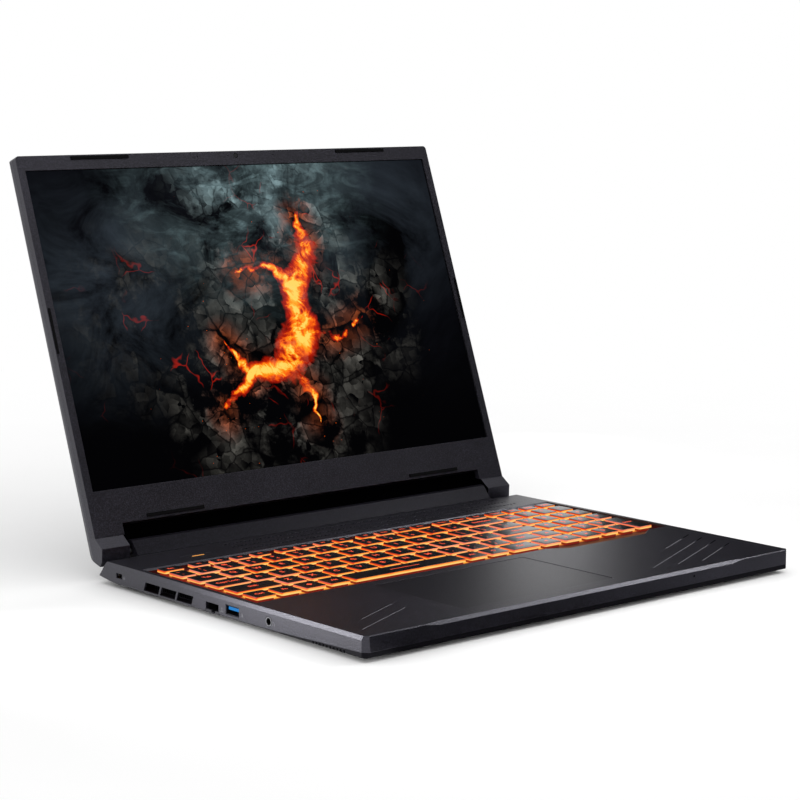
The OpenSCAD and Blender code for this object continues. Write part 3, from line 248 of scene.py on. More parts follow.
def line_plate(a, b, width, low, high):
    """A thin straight strip from a to b, carried up from low to high."""
    a, b = np.asarray(a, dtype=np.float64), np.asarray(b, dtype=np.float64)
    along = (b - a) / np.linalg.norm(b - a)
    side = np.array([-along[1], along[0]]) * width / 2
    return upright_plate([a - side, b - side, b + side, a + side], low, high)


def ring_plate(centre, inner, outer, start, stop, steps, low, high):
    """A flat arc between two radii, from one angle to another, carried up from low to high."""
    t = np.linspace(start, stop, steps)
    unit = np.stack([np.cos(t), np.sin(t)], axis=-1)
    return upright_plate(np.concatenate([centre + outer * unit, (centre + inner * unit)[::-1]]), low, high)


def join(parts):
    """Several point and face lists made one."""
    points, faces, start = [], [], 0
    for p, f in parts:
        points.append(p)
        faces.extend([[i + start for i in face] for face in f])
        start += len(p)
    return np.concatenate(points), faces


def piece(name, points, faces, material, body, smooth=False):
    """Makes one mesh object from metre points, gives it its material and body, and returns it."""
    mesh = bpy.data.meshes.new(name)
    mesh.from_pydata(points.tolist(), [], faces)
    mesh.validate()
    mesh.update()
    mesh.polygons.foreach_set("use_smooth", [smooth] * len(mesh.polygons))
    obj = bpy.data.objects.new(name, mesh)
    bpy.context.scene.collection.objects.link(obj)
    mesh.materials.append(material)
    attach(obj, body)
    return obj


WORDS = {}
# How far the font's outline is moved out, as a share of the letters' size, to match the bold legends
BOLDER = 0.022


def word_shape(text, size, thick):
    """A word as a thin solid about its middle, from Blender's own font."""
    key = (text, size)
    if key not in WORDS:
        curve = bpy.data.curves.new("word", "FONT")
        curve.body, curve.size, curve.resolution_u = text, size, 2
        curve.align_x, curve.align_y = "CENTER", "CENTER"
        curve.extrude = thick / 2
        curve.offset = BOLDER * size
        holder = bpy.data.objects.new("word", curve)
        mesh = bpy.data.meshes.new_from_object(holder)
        points = np.empty(len(mesh.vertices) * 3)
        mesh.vertices.foreach_get("co", points)
        points = points.reshape(-1, 3)
        middle = (points.min(0) + points.max(0)) / 2
        WORDS[key] = (points - middle, [list(p.vertices) for p in mesh.polygons])
        bpy.data.objects.remove(holder)
        bpy.data.curves.remove(curve)
        bpy.data.meshes.remove(mesh)
    return WORDS[key]


# ---------------------------------------------------------------- nodes


def add(tree, kind, links=None, **settings):
    """Adds a node, sets its own settings, and gives each named or numbered input a link or a value."""
    node = tree.nodes.new(kind)
    for key, value in settings.items():
        setattr(node, key, value)
    for socket, source in (links or {}).items():
        if isinstance(source, bpy.types.NodeSocket):
            tree.links.new(source, node.inputs[socket])
        else:
            node.inputs[socket].default_value = source
    return node


def number(tree, operation, *values, **settings):
    """The result of a math node on up to three numbers."""
    return add(tree, "ShaderNodeMath", dict(enumerate(values)), operation=operation, **settings).outputs["Value"]


def vector(tree, operation, *values):
    """The vector that a vector math node makes."""
    return add(tree, "ShaderNodeVectorMath", dict(enumerate(values)), operation=operation).outputs["Vector"]


def measure(tree, operation, *values):
    """The number that a vector math node makes: a length, a distance or a dot product."""
    return add(tree, "ShaderNodeVectorMath", dict(enumerate(values)), operation=operation).outputs["Value"]


def times(tree, way, factor):
    """A vector made longer or shorter."""
    return add(tree, "ShaderNodeVectorMath", {0: way, "Scale": factor}, operation="SCALE").outputs["Vector"]


def stretched(tree, place, factors):
    """A place with each of its three parts made longer or shorter."""
    return add(tree, "ShaderNodeMapping", {"Vector": place, "Scale": factors}).outputs["Vector"]


def axis(tree, place, letter):
    """The X, Y or Z part of a vector or the like part of a colour."""
    return add(tree, "ShaderNodeSeparateXYZ", {"Vector": place}).outputs[letter]


def spread(tree, value, start, stop, low=0.0, high=1.0, shape="LINEAR"):
    """A value carried from start..stop to low..high and kept between those two."""
    links = {"Value": value, "From Min": start, "From Max": stop, "To Min": low, "To Max": high}
    return add(tree, "ShaderNodeMapRange", links, interpolation_type=shape).outputs["Result"]


def noise(tree, place, scale, detail=2.0, roughness=0.5, distortion=0.0, output="Fac"):
    """Soft noise at a place, with its scale per metre or, on the screen, per panel height."""
    links = {"Vector": place, "Scale": scale, "Detail": detail, "Roughness": roughness, "Distortion": distortion}
    return add(tree, "ShaderNodeTexNoise", links).outputs[output]


def per(size):
    """The scale of a noise or brick pattern that repeats over a size in millimetres."""
    return 1 / (size * MM)


def blend(tree, factor, a, b, mode="MIX"):
    """Two colours mixed by a factor."""
    return add(tree, "ShaderNodeMix", {"Factor": factor, 6: a, 7: b}, data_type="RGBA", blend_type=mode).outputs[2]


def either(tree, factor, a, b):
    """Two shaders mixed by a factor."""
    return add(tree, "ShaderNodeMixShader", {0: factor, 1: a, 2: b}).outputs["Shader"]


def principled(tree, **values):
    """A principled shader. Each value's name is its socket's name with an underscore for each space."""
    links = {key.replace("_", " "): value for key, value in values.items()}
    return add(tree, "ShaderNodeBsdfPrincipled", links).outputs["BSDF"]


def bumped(tree, height, depth, **links):
    """The normal of a height in millimetres of depth."""
    return add(tree, "ShaderNodeBump", {"Height": height, "Distance": depth * MM, **links}).outputs["Normal"]


def rounded(tree, edge):
    """The normal with every edge rounded over a radius in millimetres."""
    return add(tree, "ShaderNodeBevel", {"Radius": edge * MM}, samples=4).outputs["Normal"]


def ramp(tree, value, stops):
    """A colour ramp read at value, with stops of position and linear colour."""
    node = add(tree, "ShaderNodeValToRGB", {"Fac": value})
    while len(node.color_ramp.elements) < len(stops):
        node.color_ramp.elements.new(0.5)
    for element, (place, tone) in zip(node.color_ramp.elements, stops):
        element.position = place
        element.color = tone
    return node.outputs["Color"]


def blank(name):
    """A new material, its empty node tree and its place node's object coordinates."""
    material = bpy.data.materials.new(name)
    material.use_nodes = True
    tree = material.node_tree
    tree.nodes.clear()
    return material, tree, add(tree, "ShaderNodeTexCoord").outputs["Object"]


def finished(material, shader):
    """Links a shader to the material's surface and returns the material."""
    output = add(material.node_tree, "ShaderNodeOutputMaterial")
    material.node_tree.links.new(shader, output.inputs["Surface"])
    return material


# ---------------------------------------------------------------- materials

# Painted shade: near black for the shaded hollow under the chin
HOLLOW_SHADE_BLACK = (0.0006, 0.0006, 0.0008, 1)


def moulded(name, tone, rough, grain, depth, edge, wear_and_edge_highlight=1.5, specular=0.5, fleck=0.1, sheen=(1, 1, 1, 1), painted_shade=None):
    """A moulded or painted surface with a fine grain and soft edges, lighter at its edges: partly rubbed paint, partly
    a painted highlight.

    The grain is noise at the grain's size, as height, as a little roughness and, by fleck, as tone. The edge mask
    is one minus the dot product of the true normal and the normal rounded over the edge radius. Where the shade
    mask gives 1, the surface is painted near black and dull as the shade of a hollow.
    """
    material, tree, place = blank(name)
    fine = noise(tree, place, per(grain), 2.0, 0.6)
    broad = noise(tree, place, per(45), 3.0)
    soft = rounded(tree, edge)
    true = add(tree, "ShaderNodeNewGeometry").outputs["Normal"]
    # Lighter edges and corners: partly rubbed paint, partly a painted highlight along every edge
    edge_wear_and_highlight = spread(tree, measure(tree, "DOT_PRODUCT", true, soft), 0.995, 0.86)
    tint = spread(tree, number(tree, "MULTIPLY_ADD", broad, 0.15, fine), 0.51, 0.8)
    shade = blend(tree, tint, scaled(tone, 1 / (1 + fleck)), scaled(tone, 1 + 5 * fleck))
    skin = blend(tree, edge_wear_and_highlight, shade, scaled(tone, wear_and_edge_highlight))
    # Painted shade: near black and dull where the hollow's shade falls
    if painted_shade:
        mask = painted_shade(tree, place)
        skin = blend(tree, mask, skin, HOLLOW_SHADE_BLACK)
    shader = principled(
        tree,
        Base_Color=skin,
        Roughness=spread(tree, fine, 0.25, 0.75, rough - 0.06, rough + 0.06),
        Normal=bumped(tree, fine, depth, Normal=soft),
        Specular_IOR_Level=specular,
        Specular_Tint=tuple(sheen),
    )
    if painted_shade:
        hollow_shade = add(tree, "ShaderNodeBsdfDiffuse", {"Color": HOLLOW_SHADE_BLACK})
        shader = either(tree, mask, shader, hollow_shade.outputs["BSDF"])
    return finished(material, shader)


# The lid's hollow between its lugs: its height over the hinge axis, its depth behind it and half its width
HOLLOW_UP, HOLLOW_BACK, HOLLOW_ASIDE = 18.8, 9.6, 157.25


def under_chin_shade(tree, place):
    """1 on the lid's hollow between its lugs, below the chin, which is painted black as shade: turned into the lid's
    own frame, low, near and inside.
    """
    out = vector(tree, "SUBTRACT", place, tuple(AXIS * MM))
    c, s = math.cos(LEAN), math.sin(LEAN)
    aside = axis(tree, vector(tree, "ABSOLUTE", out), "X")
    low = number(tree, "LESS_THAN", measure(tree, "DOT_PRODUCT", out, (0, s, c)), HOLLOW_UP * MM)
    near = number(tree, "LESS_THAN", measure(tree, "DOT_PRODUCT", out, (0, c, -s)), HOLLOW_BACK * MM)
    inside = number(tree, "LESS_THAN", aside, HOLLOW_ASIDE * MM)
    return number(tree, "MULTIPLY", number(tree, "MULTIPLY", low, near), inside)


def socket_nose(name, tone, rough, sleeve=(2.3, 2.7)):
    """Black nylon nose of a round socket: it is plated metal where the distance from its axis is in the sleeve."""
    material, tree, place = blank(name)
    out = vector(tree, "SUBTRACT", place, tuple(base([[0.0, AUDIO_Y, AUDIO_Z]])[0]))
    radius = measure(tree, "LENGTH", vector(tree, "MULTIPLY", out, (0, 1, 1)))
    inner = number(tree, "GREATER_THAN", radius, sleeve[0] * MM)
    outer = number(tree, "LESS_THAN", radius, sleeve[1] * MM)
    bump = bumped(tree, noise(tree, place, per(0.4)), 0.02)
    nylon = principled(tree, Base_Color=tuple(tone), Roughness=rough, Specular_IOR_Level=0.15, Normal=bump)
    plated = principled(tree, Base_Color=linear("#8d8d92"), Metallic=1.0, Roughness=0.3, Normal=bump)
    return finished(material, either(tree, number(tree, "MULTIPLY", inner, outer), nylon, plated))


def metal(name, tone, rough, brush, stretch, depth, edge=0.15):
    """A metal with no paint: noise stretched along one axis is the drawing or brushing mark, as height and roughness.
    """
    material, tree, place = blank(name)
    mark = noise(tree, stretched(tree, place, stretch), per(brush), 4.0)
    shader = principled(
        tree,
        Base_Color=blend(tree, mark, scaled(tone, 0.85), tuple(tone)),
        Metallic=1.0,
        Roughness=spread(tree, mark, 0.0, 1.0, rough - 0.08, rough + 0.08),
        Normal=bumped(tree, mark, depth, Normal=rounded(tree, edge)),
    )
    return finished(material, shader)


def circuit_board():
    """Glass-epoxy board under green solder mask: straight tracks, from bricks, stand a hair above the mask."""
    material, tree, place = blank("Solder-masked epoxy board")
    tones = {"Color1": (1, 1, 1, 1), "Color2": (0.8, 0.8, 0.8, 1), "Mortar": (0, 0, 0, 1)}
    bricks = {"Vector": place, "Scale": per(6), "Mortar Size": 0.06, **tones}
    tracks = add(tree, "ShaderNodeTexBrick", bricks).outputs["Fac"]
    shade = blend(tree, tracks, linear("#0d3420"), linear("#1d5a36"))
    return finished(material, principled(tree, Base_Color=shade, Roughness=0.35, Normal=bumped(tree, tracks, 0.05)))


def lit_key(props, top):
    """Clear polycarbonate cap, black lacquer on top, lit from below.

    Below the lacquer the side glows: hot at its foot, warm and deep higher up, and dim where the lacquer starts.
    The sides that face front and back are a step hotter than the others, and slow noise mixes rose into the glow.
    """
    material, tree, place = blank("Lacquered polycarbonate key cap")
    height = axis(tree, place, "Z")
    foot = (top - props.height) * MM
    line = foot + props.lit * MM
    up = spread(tree, height, foot, line)
    normal = add(tree, "ShaderNodeNewGeometry").outputs["Normal"]
    across = axis(tree, vector(tree, "ABSOLUTE", normal), "X")
    shifted = number(tree, "MULTIPLY_ADD", noise(tree, place, per(11)), 0.5, -0.45)
    sideways = number(tree, "MULTIPLY_ADD", across, 0.36, shifted)
    level = number(tree, "MULTIPLY_ADD", up, 0.8, sideways)
    stops = [(0.1, tuple(props.hot)), (0.4, tuple(props.warm)), (0.62, tuple(props.deep)), (0.9, tuple(props.dim))]
    rosy = spread(tree, noise(tree, place, per(60), 1.0), 0.5, 0.68, 0.0, 0.75)
    glow = blend(tree, number(tree, "MULTIPLY", rosy, up), ramp(tree, level, stops), tuple(props.rose))
    bump = bumped(tree, noise(tree, place, per(0.4)), 0.012)
    lacquer = principled(tree, Base_Color=tuple(props.cap), Roughness=0.3, Specular_IOR_Level=0.4, Normal=bump)
    skirt = principled(
        tree,
        Base_Color=linear("#6a2a18"),
        Roughness=0.3,
        Specular_IOR_Level=0.2,
        Emission_Color=glow,
        Emission_Strength=1.0,
    )
    return finished(material, either(tree, number(tree, "GREATER_THAN", height, line), skirt, lacquer))


def lit_film(name, props, box, rim=0.4, full=7.0):
    """Reflector film lit from its edge: it glows between the keys and fades to dark red at the outer keys.

    The glow grows from the rim to its full strength over millimetres inside the key field's rectangle, by the
    signed distance to that rectangle, and noise breaks it up.
    """
    material, tree, place = blank(name)
    low, high = box
    middle, half = (np.array(high) + np.array(low)) / 2, (np.array(high) - np.array(low)) / 2
    from_middle = vector(tree, "SUBTRACT", place, (middle[0], middle[1], 0))
    past = vector(tree, "SUBTRACT", vector(tree, "ABSOLUTE", from_middle), (half[0], half[1], 1.0))
    out = number(tree, "MAXIMUM", axis(tree, past, "X"), axis(tree, past, "Y"))
    inside = spread(tree, out, -rim * MM, -full * MM, shape="SMOOTHSTEP")
    patch = number(tree, "MULTIPLY_ADD", noise(tree, place, per(10), 1.0), 0.8, 0.35)
    stops = [(0.0, linear("#2c0a0c")), (0.25, linear("#7c1c18")), (0.6, tuple(props.warm)), (0.9, linear("#ffc63c"))]
    shader = principled(
        tree,
        Base_Color=linear("#2a1214"),
        Roughness=0.4,
        Specular_IOR_Level=0.2,
        Emission_Color=ramp(tree, number(tree, "MULTIPLY", inside, patch), stops),
        Emission_Strength=1.0,
    )
    return finished(material, shader)


def lit_ink(name, tone, power):
    """Translucent ink over a lamp. Slow noise makes its light a little uneven."""
    material, tree, place = blank(name)
    glow = ramp(tree, noise(tree, place, per(7)), [(0.3, scaled(tone, 0.72)), (0.7, scaled(tone, 1.0))])
    shader = principled(
        tree, Base_Color=scaled(tone, 0.3), Roughness=0.5, Emission_Color=glow, Emission_Strength=power
    )
    return finished(material, shader)


def from_stretch(tree, point, a, b):
    """How far a point lies from the straight stretch a to b, and its share of the way along.

    The share is the dot product of the point from a with b from a over that way's square, kept from 0 to 1.
    """
    way = (b[0] - a[0], b[1] - a[1], 0.0)
    out = vector(tree, "SUBTRACT", point, (a[0], a[1], 0.0))
    dot = measure(tree, "DOT_PRODUCT", out, way)
    share = number(tree, "MULTIPLY", dot, 1 / (way[0] ** 2 + way[1] ** 2), use_clamp=True)
    return measure(tree, "DISTANCE", out, times(tree, way, share)), share


# Each stretch of the glowing crack: its two ends, in panel heights from the lower left, and its two half widths
CRACK = [
    ((0.55, 0.20), (0.68, 0.29), 0.008, 0.028),
    ((0.68, 0.29), (0.82, 0.32), 0.028, 0.050),
    ((0.82, 0.32), (0.91, 0.45), 0.050, 0.066),
    ((0.91, 0.45), (0.93, 0.58), 0.066, 0.050),
    ((0.93, 0.58), (1.00, 0.68), 0.050, 0.030),
    ((1.00, 0.68), (0.99, 0.83), 0.030, 0.006),
    ((0.82, 0.32), (0.89, 0.22), 0.028, 0.014),
    ((0.89, 0.22), (0.91, 0.12), 0.014, 0.003),
    ((0.91, 0.45), (1.05, 0.41), 0.030, 0.016),
    ((1.05, 0.41), (1.19, 0.47), 0.016, 0.003),
    ((0.93, 0.58), (0.82, 0.66), 0.022, 0.012),
    ((0.82, 0.66), (0.71, 0.64), 0.012, 0.003),
    ((0.68, 0.29), (0.60, 0.40), 0.016, 0.003),
]


def screen_picture(props):
    """Picture of smoke over broken stone with a forked glowing crack, from noise and cells on the sheet's UV map.

    Smoke is noise inside a round fade from the top. Stone is the tones of large and small cells with dark joints.
    The crack is the smallest distance to its stretches over their half width, shaken by noise, with ridges of
    noise inside it, as dark red, orange and yellow. Its light falls off over the stone.
    """
    material, tree, place = blank("Lit liquid-crystal picture")
    wide = stretched(tree, place.node.outputs["UV"], (1.6, 1.0, 1.0))
    centred = (0.5, 0.5, 0.5)

    def cloudy(scale, detail=4.0, roughness=0.6, distortion=0.0, at=wide, output="Fac"):
        return noise(tree, at, scale, detail, roughness, distortion, output)

    def calc(operation, *values):
        return number(tree, operation, *values)

    def product(*values):
        return values[0] if len(values) == 1 else calc("MULTIPLY", values[0], product(*values[1:]))

    def line(value, slope, start):
        return calc("MULTIPLY_ADD", value, slope, start)

    def fade(value, start, stop, shape="SMOOTHSTEP"):
        return spread(tree, value, start, stop, shape=shape)

    def spot(x, y, radius):
        return fade(measure(tree, "DISTANCE", wide, (x, y, 0)), radius, 0.0)

    def mixed(factor, a, b, mode="MIX"):
        return blend(tree, factor, a, tuple(b) if not isinstance(b, bpy.types.NodeSocket) else b, mode)

    def bent(amount, scale, at=wide):
        shift = vector(tree, "SUBTRACT", cloudy(scale, 3.0, at=at, output="Color"), centred)
        return vector(tree, "ADD", at, times(tree, shift, amount))

    def cells(scale, at, **settings):
        return add(tree, "ShaderNodeTexVoronoi", {"Vector": at, "Scale": scale}, **settings).outputs

    # the crack: its nearest stretch, as a share of the half width there and as a distance
    shaken = bent(0.035, 24.0, bent(0.13, 5.0))
    ratio, away = None, None
    for a, b, start, stop in CRACK:
        far, share = from_stretch(tree, shaken, a, b)
        here = calc("DIVIDE", far, spread(tree, share, 0.0, 1.0, start, stop))
        ratio = here if ratio is None else calc("MINIMUM", ratio, here)
        away = far if away is None else calc("MINIMUM", away, far)
    glow = fade(ratio, 1.5, 0.1)
    ridge = calc("SUBTRACT", 1.0, calc("ABSOLUTE", line(cloudy(13.0, 5.0, 0.6, 1.3), 2.0, -1.0)))
    veins = calc("POWER", ridge, 7.0)
    dark = fade(cloudy(9.0, 4.0, 0.65, 0.6), 0.38, 0.6)
    molten = product(glow, calc("ADD", line(dark, 0.55, 0.22), product(veins, 0.66)))
    stops = [
        (0.04, (0, 0, 0, 1)),
        (0.16, scaled(props.ember, 0.6)),
        (0.3, tuple(props.ember)),
        (0.52, tuple(props.flame)),
        (0.74, linear("#ffa51e")),
        (0.95, tuple(props.core)),
    ]
    heat = ramp(tree, molten, stops)
    # smoke: thin all over, haze at both sides, and puffs with long wisps at the top
    cloud = fade(cloudy(4.0, 10.0, 0.66, 0.9), 0.38, 0.7, "LINEAR")
    wisp = fade(cloudy(9.0, 8.0, 0.6, 2.2, stretched(tree, wide, (0.6, 1.5, 1.0))), 0.47, 0.7, "LINEAR")
    thin = fade(cloudy(2.3, 9.0, 0.62, 0.8), 0.4, 0.74, "LINEAR")
    sky = mixed(product(thin, fade(axis(tree, wide, "Y"), 0.05, 0.75)), tuple(props.night), props.gloom)
    sky = mixed(product(spot(0.2, 0.62, 0.5), cloud), sky, props.haze)
    sky = mixed(product(spot(1.36, 0.8, 0.42), thin), sky, props.haze)
    sky = mixed(product(spot(0.82, 1.04, 0.66), product(cloud, line(wisp, 0.9, 0.35))), sky, props.smoke)
    # broken stone: every cell is a facet that slopes its own way
    rough = bent(0.03, 14.0)

    def facets(scale, slope):
        cell = cells(scale, rough)
        lean = vector(tree, "SUBTRACT", cell["Color"], centred)
        fall = measure(tree, "DOT_PRODUCT", vector(tree, "SUBTRACT", rough, cell["Position"]), lean)
        return line(fall, slope * scale, axis(tree, cell["Color"], "Z"))

    joint = cells(13.0, rough, feature="DISTANCE_TO_EDGE")["Distance"]
    facet = product(line(facets(13.0, 1.6), 0.75, 0.12), line(facets(34.0, 1.4), 0.95, 0.25))
    facet = product(facet, line(fade(joint, 0.0, 0.05), 0.85, 0.15))
    facet = product(facet, line(cloudy(38.0, 6.0, 0.72), 1.5, 0.1))
    heap = fade(cloudy(3.1, 6.0, 0.68), 0.44, 0.54)
    sides = calc("MAXIMUM", product(spot(0.36, 0.52, 0.42), 0.34), product(spot(0.84, 0.98, 0.42), 1.3))
    lit = calc("MAXIMUM", product(fade(away, 0.3, 0.0), 0.85), sides)
    chips = number(tree, "MULTIPLY", product(facet, heap), lit, use_clamp=True)
    grey = mixed(spot(0.86, 1.06, 0.7), tuple(props.rock), props.smoke)
    stone = mixed(chips, sky, mixed(fade(away, 0.11, 0.0), grey, linear("#b4552a")))
    # embers in the joints, and sparks
    gap = cells(8.0, bent(0.12, 6.0), feature="DISTANCE_TO_EDGE")["Distance"]
    seam = product(fade(gap, 0.022, 0.0), fade(cloudy(4.5, 3.0, 0.5), 0.54, 0.66))
    seam = product(seam, calc("MAXIMUM", fade(away, 0.34, 0.05), spot(0.34, 0.42, 0.42)))
    stone = mixed(product(seam, 0.8), stone, props.ember, "SCREEN")
    dots = cells(52.0, wide)
    spark = product(fade(dots["Distance"], 0.09, 0.03), calc("GREATER_THAN", axis(tree, dots["Color"], "Y"), 0.86))
    stone = mixed(product(spark, fade(away, 0.36, 0.04)), stone, props.flame)
    shader = principled(
        tree,
        Base_Color=(0.0005, 0.0005, 0.0006, 1),
        Roughness=0.5,
        Specular_IOR_Level=0.005,
        Emission_Color=mixed(1.0, stone, heat, "SCREEN"),
        Emission_Strength=props.level,
    )
    return finished(material, shader)


MATERIALS = {}


def finishes(scene):
    """Makes each finish once and returns them by use."""
    if MATERIALS:
        return MATERIALS
    shell, keys, marks = scene.notebook_shell, scene.notebook_keys, scene.notebook_marks
    case, grain, edge = tuple(shell.case), shell.grain, shell.edge
    sheen = {"sheen": tuple(shell.sheen)}
    # The paint's edges are lightened 2.6 times: rubbed paint and a painted highlight
    satin = {"wear_and_edge_highlight": 2.6, "specular": 0.72, "fleck": 0.9, **sheen}
    line = {"wear_and_edge_highlight": 1.0}
    field = (KEY_FIELD + DECK_ORIGIN[:2]) * MM
    caps_top = DECK_ORIGIN[2] + keys.proud
    # the drawn or rolled marks run along X, along Y and Z, or along Z, where the stretch is small
    along_x, across_x, upright = (1.0, 8.0, 8.0), (6.0, 1.0, 1.0), (1.0, 1.0, 6.0)
    MATERIALS.update(
        {
            # Satin paint over ABS: a soft, slightly violet grey with a fine even grain
            "case": moulded("Satin painted ABS shell", case, 0.4, grain, 0.13, edge, **satin),
            # The lid's paint, with black painted in as the shade of the hollow under the chin
            "lid": moulded("Satin painted ABS lid", case, 0.4, grain, 0.13, edge, painted_shade=under_chin_shade, **satin),
            # The same paint on the hinge bar, rolled smoother: hardly any gloss
            "bar": moulded(
                "Satin painted ABS bar", case, 0.42, grain, 0.08, edge, wear_and_edge_highlight=2.0, specular=0.1, fleck=0.5, **sheen
            ),
            # Spark-eroded ABS: near black, a coarser grain and hardly any shine
            "cover": moulded(
                "Spark-textured black ABS", tuple(shell.cover), 0.55, grain * 1.2, 0.06, edge,
                wear_and_edge_highlight=2.0, specular=0.1, fleck=0.25, **sheen,
            ),
            # Fine-eroded ABS round the screen: sharper edges and a grain that sparkles a little
            "bezel": moulded(
                "Fine-textured ABS bezel", case, 0.42, grain, 0.15, edge * 0.7,
                wear_and_edge_highlight=3.0, specular=0.6, fleck=1.0, **sheen,
            ),
            # Polyester film over the pad: calmer and a little duller than the paint round it, its rim lightened six
            # times as a painted highlight along its outline
            "pad": moulded(
                "Polyester film touchpad", case, 0.4, grain * 0.8, 0.05, 0.3,
                wear_and_edge_highlight=6.0, specular=0.6, fleck=0.3, **sheen,
            ),
            # Bare grey nylon: a soft shine on the sprung lip
            "jaw": moulded("Grey nylon socket jaw", linear("#26252b"), 0.4, 0.6, 0.02, 0.2, specular=0.3),
            # Moulded nitrile: no shine, faint powdery grain
            "rubber": moulded(
                "Moulded nitrile rubber", tuple(shell.rubber), 0.8, 0.7, 0.05, 0.3, wear_and_edge_highlight=1.3, specular=0.1
            ),
            # Glass-filled nylon: black with a faint grain
            "socket": moulded("Black nylon socket body", linear("#0c0c0e"), 0.45, 0.6, 0.02, 0.15, specular=0.2),
            # The same nylon with the thin bright ring of the plated sleeve
            "nose": socket_nose("Nylon nose with a plated sleeve", linear("#08080a"), 0.4),
            # Dyed nylon: flat clear blue
            "tongue": moulded(
                "Blue nylon connector tongue", linear("#0d66a6"), 0.5, 0.5, 0.01, 0.15, specular=0.1, fleck=0.03
            ),
            # Heat-shrunk film: soft broad waves
            "wrap": moulded("Shrink-wrapped battery cells", linear("#17181b"), 0.35, 3.0, 0.15, 0.6),
            # Lapped silicon: nearly a mirror
            "silicon": moulded("Lapped silicon die", linear("#3b3f45"), 0.18, 2.0, 0.002, 0.1, specular=0.6),
            # Black border under matt glass
            "panel": moulded("Black-bordered glass panel", linear("#050506"), 0.3, 1.0, 0.002, 0.1, specular=0.2),
            # Coated glass: a small clear glint
            "lens": moulded("Coated glass lens", linear("#040408"), 0.12, 1.5, 0.001, 0.3, specular=0.25),
            # Woven tape: dull, with the weave's relief
            "cable": moulded("Woven tape round cables", linear("#55544f"), 0.6, 0.8, 0.06, 0.2),
            # Rolled and plated sheet: long soft streaks
            "steel": metal("Stamped zinc-plated steel", linear("#a3a4a8"), 0.34, 0.6, along_x, 0.01),
            # Plated shells: bright, and dark grey on the USB sockets
            "nickel": metal("Nickel-plated connector shell", linear("#b9babd"), 0.28, 0.5, across_x, 0.008),
            "tin": metal("Black-plated connector shell", linear("#3a3a40"), 0.42, 0.5, across_x, 0.008),
            # Gold flash: a warm glint on each contact
            "gold": metal("Gold-flashed contacts", linear("#d9b15a"), 0.25, 0.4, across_x, 0.004),
            # Drawn copper: fine lines along the pipe
            "copper": metal("Drawn copper pipe", linear("#c9794b"), 0.3, 0.6, (1.0, 6.0, 6.0), 0.01),
            # Aluminium fins painted dark as the shade inside the vents, with upright streaks on the fins
            "fins": metal("Blackened aluminium fins", linear("#26262a"), 0.45, 0.5, upright, 0.01),
            "board": circuit_board(),
            "key": lit_key(keys, caps_top),
            "tray": lit_film("Printed reflector film", keys, field),
            # Clear acetal over the film: it carries the glow without a shine
            "support": lit_ink("Clear acetal scissor links", tuple(keys.dim), 0.5),
            # Legends burnt through the lacquer: brighter than the glow round them
            "legend": lit_ink("Laser-cut legend", tuple(keys.legend), 1.35),
            "lamp": lit_ink("Orange light pipe", linear("#ffae55"), 1.2),
            "picture": screen_picture(scene.notebook_screen),
            # Thin pale and dark lines on the paint; the dark finish also paints the shade of the front pinhole
            "pale": moulded("Polished line in paint", tuple(marks.pale), 0.3, 0.6, 0.002, 0.05, **line),
            "dark": moulded("Pressed line in paint", tuple(marks.dark), 0.7, 0.6, 0.004, 0.05, specular=0.0, **line),
            # Pad-printed ink: a flat soft grey
            "icon": moulded("Pad-printed epoxy ink", tuple(marks.icon), 0.5, 0.3, 0.003, 0.02, **line),
        }
    )
    return MATERIALS


NODE_FINISH = {
    "case": ["top_case", "power_button"],
    "lid": ["lid_back_cover"],
    "jaw": ["rj45_jaw"],
    "nose": ["audio_jack"],
    "bar": ["hinge_cover_bar"],
    "cover": ["bottom_cover", "speakers"],
    "bezel": ["screen_bezel"],
    "pad": ["touchpad"],
    "rubber": ["rubber_feet", "bezel_bumpers"],
    "socket": ["rj45_socket", "dc_inlet", "fan_housings", "fan_rotor_left", "fan_rotor_right", "antennas"],
    "tongue": ["usb_tongues"],
    "wrap": ["battery_pack"],
    "silicon": ["processors"],
    "panel": ["lcd_panel"],
    "lens": ["webcam_lens"],
    "cable": ["ribbon_cables", "display_cable"],
    "steel": ["hinge_brackets", "hinge_arms", "touchpad_bracket", "lock_slot_plate", "bottom_screws"],
    "nickel": ["rear_ports"],
    "tin": ["usb_shells"],
    "copper": ["heat_pipes", "cold_plates"],
    "fins": ["fin_stacks"],
    "board": ["motherboard", "memory_modules", "ssd_module", "wifi_card", "webcam_module"],
    "tray": ["keyboard_tray"],
    "support": ["key_supports"],
    "lamp": ["power_light"],
}


# ---------------------------------------------------------------- keyboard layout, in millimetres

# Pitch of the letter keys, of the number pad and of the function row, and the gap between two caps
UNIT, NUM_UNIT, GAP = 19.05, 16.5, 4.1
CAP, NUM_CAP, FN_DEPTH = UNIT - GAP, NUM_UNIT - GAP, 9.4
# Room between the letter keys and the number pad, between two blocks of the function row, and in front of it
PAD_ROOM, FN_ROOM, FN_FRONT_ROOM = 6.1, 4.2, 3.65
MAIN_W = 14.5 * UNIT - GAP
BOARD_W = MAIN_W + PAD_ROOM + 4 * NUM_UNIT - GAP
# The board's left front corner: it stands a little right of the middle
LEFT, FRONT = 1.5 - BOARD_W / 2, 113.4
NUM_LEFT = LEFT + MAIN_W + PAD_ROOM
FN_UNIT = (MAIN_W + 1 - CAP - 4 * FN_ROOM) / 15
FN_BLOCK = 4 * FN_UNIT + FN_ROOM
FN_FRONT = FRONT + 5 * UNIT - GAP + FN_FRONT_ROOM
FN_LEFT = LEFT + UNIT + FN_ROOM
KEY_FIELD = np.array([[LEFT, FRONT], [LEFT + BOARD_W, FN_FRONT + FN_DEPTH]])


def plain(letters):
    """Keys one pitch wide, each with one legend."""
    return [(c, 1) for c in letters]


def paired(shifted, low):
    """Keys one pitch wide, each with a shifted and a plain legend."""
    return [((s, c), 1) for s, c in zip(shifted, low)]


